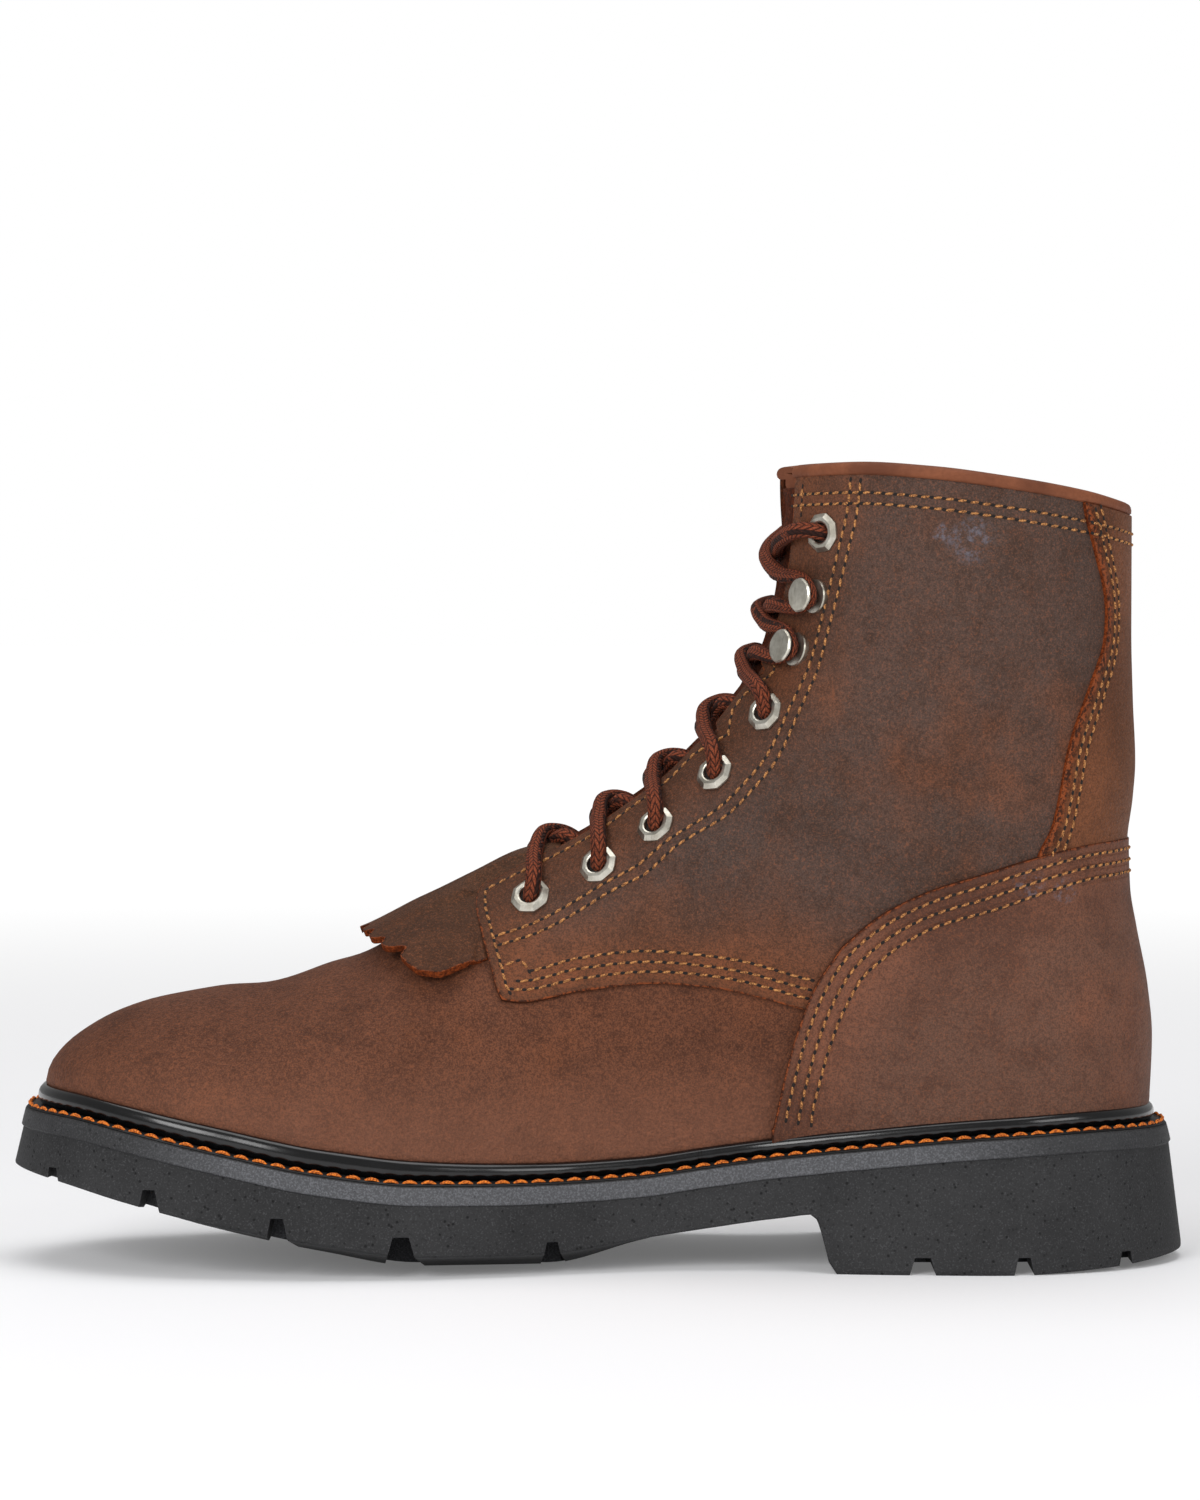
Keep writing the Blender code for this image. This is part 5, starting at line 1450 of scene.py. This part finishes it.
def braid(length):
    """Rust yarns that lie slantwise in columns, with a few black ones, along the cord's own UV map."""
    made, shader, tree, place = new_finish("lace_braid", Specular_IOR_Level=0.2)
    along, round_it, _ = tree.node("UVMap", {"uv_map": "UVMap"}).split()
    column = round_it * BRAID_COLUMNS + (tree.noise(place, 300.0, 2.0) - 0.5) * 0.3
    across = tree.maths("FRACT", column)
    number = column - across
    slant = tree.maths("MODULO", number, 2.0) * 2 - 1
    yarn = along * (length / BRAID_PITCH) + (across - 0.5) * slant
    share = tree.maths("FRACT", yarn)
    dome = 1 - tree.maths("POWER", tree.maths("ABSOLUTE", share * 2 - 1), 2.0)
    round_column = 1 - tree.maths("POWER", tree.maths("ABSOLUTE", across * 2 - 1), 3.0)
    height = dome * 0.7 + round_column * 0.5
    black = 1 - tree.maths("MODULO", number, BRAID_BLACK).ramp(0.2, 0.7)
    black = black * tree.noise(place, 420.0, 2.0, 0.5).ramp(0.36, 0.52)
    fibre = tree.noise(place, 2400.0, 3.0, 0.7)
    # The grooves between the yarns and between the columns are mixed towards a near-black brown: painted
    # shade.
    colour = tree.layered(
        srgb(84, 37, 23), (fibre.ramp(0.3, 0.75), srgb(154, 78, 48)), (black * 0.9, srgb(20, 11, 10)),
        ((1 - dome.ramp(0.2, 0.85)) * 0.85, BRAID_GROOVE_SHADE),
        ((1 - round_column.ramp(0.0, 0.6)) * 0.8, BRAID_GROOVE_SHADE))
    feed(shader, Base_Color=colour, Roughness=0.7 + fibre * 0.2, Normal=tree.bump(height + fibre * 0.3, 0.35))
    return made


crossings = [f"lace_crossing_{number}" for number in range(1, len(LACING))]
LACE = None
for name, side in SIDES.items():
    route = lace_points(side)
    fine = flowing(route, ROUTE_SAMPLES)
    length = arc_of(fine[:, :3])[-1]
    fine = resampled(fine, fine[:, :3], int(length / LACE_STEP))
    lace = cord("lace_from_" + name, fine[:, :3], fine[:, 3], LACE_SIDES)
    LACE = LACE or braid(length)
    dress(lace, "lace_cord", *crossings, finish=LACE, angle=60.0)
    print("half a lace:", round(length), "mm")

# %% [markdown]
# ## Thread
# All panels are sewn with a gold, twisted thread. A stitch is a short bead of thread between two needle
# holes, and each hole is a small black bean laid on the leather, painted shade. Well over a thousand of
# them are needed, so one stitch and one hole are modelled, and both are copied along the rows as arrays
# of points, joined into one mesh each. A row runs at a distance inside a cut edge.

# %% Draw the rows
Row = namedtuple("Row", "line out")
EYESTAY = ((65.4, 203.8), (65.0, 199.0), (64.4, 194.5), (62.9, 187.6), (60.3, 175.7), (57.7, 164.8),
           (55.4, 156.0), (51.7, 147.4), (45.3, 135.3), (38.0, 124.9), (24.5, 114.2), (13.4, 106.2),
           (-1.6, 96.7), (-16.4, 88.6), (-26.4, 85.0))
EYESTAY_GAP = 2.85
SEAM_JOG = ((-25.2, 77.8), (-22.5, 78.6), (-19.9, 79.1), (-19.0, 77.9), (-18.1, 76.5))
FACING_INSET, FRONT_INSET = 4.0, 2.7
FACING_ROW = (157.0, 194.5)
FACING_SPAN = (0.012, 0.985)
COLLAR_DROPS, COLLAR_SIDE, COLLAR_STAY = (6.7, 9.5), (51.5, 124.6, 80), (125.2, COLLAR_BACK, STAY_SAMPLES)
QUARTER_STARTS, QUARTER_END, FRONT_PART, STAY_START, COUNTER_TRIM = (4, 7, 16), -6, slice(4, -14), 8, 6


def inset(line, distance):
    """A (level, turn) line moved sideways over the skin, to the left of its run as seen from outside."""
    level, turn = line.T
    here = skin(level, turn)
    by_level = (skin(level + NUDGE, turn) - here) / NUDGE
    by_turn = (skin(level, turn + NUDGE) - here) / NUDGE
    left = unit(np.cross(unit(np.cross(by_level, by_turn)), unit(np.gradient(here, axis=0)))) * distance
    a, b, c = ((by_level * by_level).sum(1), (by_level * by_turn).sum(1), (by_turn * by_turn).sum(1))
    p, q, whole = (by_level * left).sum(1), (by_turn * left).sum(1), a * c - b * b
    return np.stack([level + (c * p - b * q) / whole, turn + (a * q - b * p) / whole], axis=1)


def side_rows(side):
    """Rows of one quarter and of its half of the backstay."""
    edge, front, eyestay, jog, stay = (
        on_skin(flowing(line), side) for line in (QUARTER_EDGE, FRONT_EDGE, EYESTAY, SEAM_JOG, BACKSTAY_EDGE))
    facing = facing_line(side, CORNER_LEVEL + FACING_SPAN[0], FACING_SPAN[1], FACING_INSET)
    height = skin(*facing.T)[:, 2]
    low, high = (facing[part] for part in (height < FACING_ROW[0], height > FACING_ROW[1]))
    starts = zip(QUARTER_SEAMS, QUARTER_STARTS)
    lines = [inset(edge, side * -seam)[start:QUARTER_END] for seam, start in starts]
    lines += [eyestay, inset(eyestay, side * -EYESTAY_GAP)]
    lines += [np.concatenate([inset(front, side * FRONT_INSET)[FRONT_PART], low]), high, jog]
    lines += [on_skin(below_collar(*COLLAR_SIDE, drop), side) for drop in COLLAR_DROPS]
    behind = [inset(stay, side * seam)[STAY_START:] for seam in STAY_SEAMS]
    return [Row(line, QUARTER_OUT) for line in lines] + [Row(line, STAY_OUT) for line in behind]


def back_rows():
    """Rows of the counter, and the collar's rows where they cross the backstay."""
    edge = round_back(on_skin(flowing(COUNTER_FRONT + COUNTER_TOP[1:]), MEDIAL))
    rows = [Row(inset(edge, -seam)[COUNTER_TRIM:-COUNTER_TRIM], COUNTER_OUT) for seam in COUNTER_SEAMS]
    for drop in COLLAR_DROPS:
        rows.append(Row(round_back(on_skin(below_collar(*COLLAR_STAY, drop), MEDIAL)), STAY_OUT))
    return rows


ROWS = back_rows() + side_rows(MEDIAL) + side_rows(LATERAL)
print("stitch rows:", len(ROWS))

# %% Sew
STITCH_PITCH, STITCH, STITCH_ARCH, STITCH_LIFT, STITCH_SLANT = 3.1, (2.5, 0.72, 0.8), 0.3, 0.1, 0.16
HOLE, HOLE_RINGS, HOLE_LIFT = (1.45, 0.85, 0.3), 4, 0.02


def along_rows(lift, between):
    """Places, run and outward directions of the stitches of all rows, or of the holes between them."""
    places = []
    for row in ROWS:
        level, turn = row.line.T
        base = skin(level, turn, row.out + lift)
        upright = skin(level, turn, row.out + lift + 1) - base
        count = max(int(arc_of(base)[-1] / STITCH_PITCH), 2)
        marks = np.concatenate([base, upright, np.gradient(base, axis=0)], axis=1)
        places.append(resampled(marks, base, 2 * count + 1)[0 if between else 1::2])
    even = np.concatenate(places)
    out, run = unit(even[:, 3:6]), unit(even[:, 6:9])
    return even[:, :3], run, out


def scattered(name, model, place, run, out):
    """Copies of a small model along places, joined in one mesh: its X lies along the run, its Z outward."""
    shape = points_of(model)
    across = unit(np.cross(out, run))
    points = (place[:, None] + shape[None, :, :1] * run[:, None] + shape[None, :, 1:2] * across[:, None]
              + shape[None, :, 2:] * out[:, None])
    faces = [list(face.vertices) for face in model.data.polygons]
    count = len(shape)
    mesh = bpy.data.meshes.new(name)
    mesh.from_pydata((points.reshape(-1, 3) * MM).tolist(), [],
                     [[i + n * count for i in face] for n in range(len(place)) for face in faces])
    piece = bpy.data.objects.new(name, mesh)
    bpy.context.collection.objects.link(piece)
    bpy.data.objects.remove(model)
    return piece


def bean(length, width, height, segments=8, rings=6, arch=0.0):
    """A small ellipsoid, arched along its length."""
    bpy.ops.object.select_all(action="DESELECT")
    bpy.ops.mesh.primitive_uv_sphere_add(segments=segments, ring_count=rings, radius=0.5 * MM)
    piece = bpy.context.object
    points = points_of(piece)[:, (2, 0, 1)] * (length, width, height)
    points[:, 2] -= arch * (2 * points[:, 0] / length) ** 2
    move_points(piece, points)
    weld(piece)
    return piece


def thread(name, light, dark):
    made, shader, tree, place = new_finish(name, Specular_IOR_Level=0.3)
    twist = tree.noise(place, 2600.0, 2.0, 0.6)
    cloud = tree.noise(place, 500.0, 3.0, 0.6)
    colour = tree.layered(dark, (twist.ramp(0.35, 0.65), light), (cloud.ramp(0.5, 0.75) * 0.5, dark))
    feed(shader, Base_Color=colour, Roughness=0.6 + twist * 0.2, Normal=tree.bump(twist, 0.15))
    return made


place, run, out = along_rows(STITCH_LIFT, between=False)
slant = unit(run + np.cross(out, run) * STITCH_SLANT)
stitches = scattered("gold_stitches", bean(*STITCH, arch=STITCH_ARCH), place, slant, out)
gold = thread("gold_thread", srgb(206, 144, 84), srgb(92, 52, 26))
dress(stitches, "lace_cord", finish=gold, angle=80.0)
# The holes are small black beans laid on the leather: painted shade.
place, run, out = along_rows(HOLE_LIFT, between=True)
holes = scattered("needle_hole_shade", bean(*HOLE, rings=HOLE_RINGS), place, run, out)
dress(holes, "oiled_leather", finish=painted_hole_shade(), angle=80.0)

# %% Sew the welt
WELT_PITCH, WELT_REACH, WELT_LIFT, WELT_SAMPLES = 4.8, 4.3, 0.3, 1600
LOOP, LOOP_ARCH = (4.7, 0.9, 0.9, 10, 8), 0.8
seam = round_sole(np.linspace(2 * math.pi, 0, WELT_SAMPLES), WELT_REACH, LEDGE_TOP + WELT_LIFT)
seam = evenly(seam, int(arc_of(seam)[-1] / WELT_PITCH))
run = unit(np.gradient(seam, axis=0))
out = unit(np.cross(np.cross(run, (0.0, 0.0, 1.0)), run))
loops = scattered("welt_stitches", bean(*LOOP, arch=LOOP_ARCH), seam, run, out)
orange = thread("welt_thread", srgb(240, 132, 40), srgb(132, 58, 14))
dress(loops, "lace_cord", finish=orange, angle=80.0)

# %% [markdown]
# ## The floor
# The boot stands on a white sweep that fades into the white background. A large plane is enough: its far
# part glows a little, so that no horizon shows behind the boot.

# %% Lay the floor
FLOOR_SIZE, FLOOR_CUTS, FLOOR_FADE = 12.0, 4, (0.3, 1.5)
FLOOR_WHITE, FLOOR_FAR = srgb(238, 238, 240), (0.0, 0.0, 0.0, 1.0)
GLOW_NEAR, GLOW_FAR = (0.13, 0.13, 0.13, 1.0), (1.0, 1.0, 1.0, 1.0)
bpy.ops.object.select_all(action="DESELECT")
bpy.ops.mesh.primitive_plane_add(size=FLOOR_SIZE)
floor = bpy.context.object
floor.name = "floor"
bpy.ops.object.mode_set(mode="EDIT")
bpy.ops.mesh.subdivide(number_cuts=FLOOR_CUTS)
bpy.ops.object.mode_set(mode="OBJECT")
FLOOR_FINISH, shader, tree, place = new_finish("floor_sweep", Roughness=0.6, Specular_IOR_Level=0.2,
                                               Emission_Strength=1.0)
distance = tree.node("VectorMath", {"operation": "LENGTH"}, {0: place}, output="Value")
far = distance.ramp(*FLOOR_FADE)
feed(shader, Base_Color=tree.mix(far, FLOOR_WHITE, FLOOR_FAR),
     Emission_Color=tree.mix(far, GLOW_NEAR, GLOW_FAR))
floor.data.materials.append(FLOOR_FINISH)
print("floor laid")
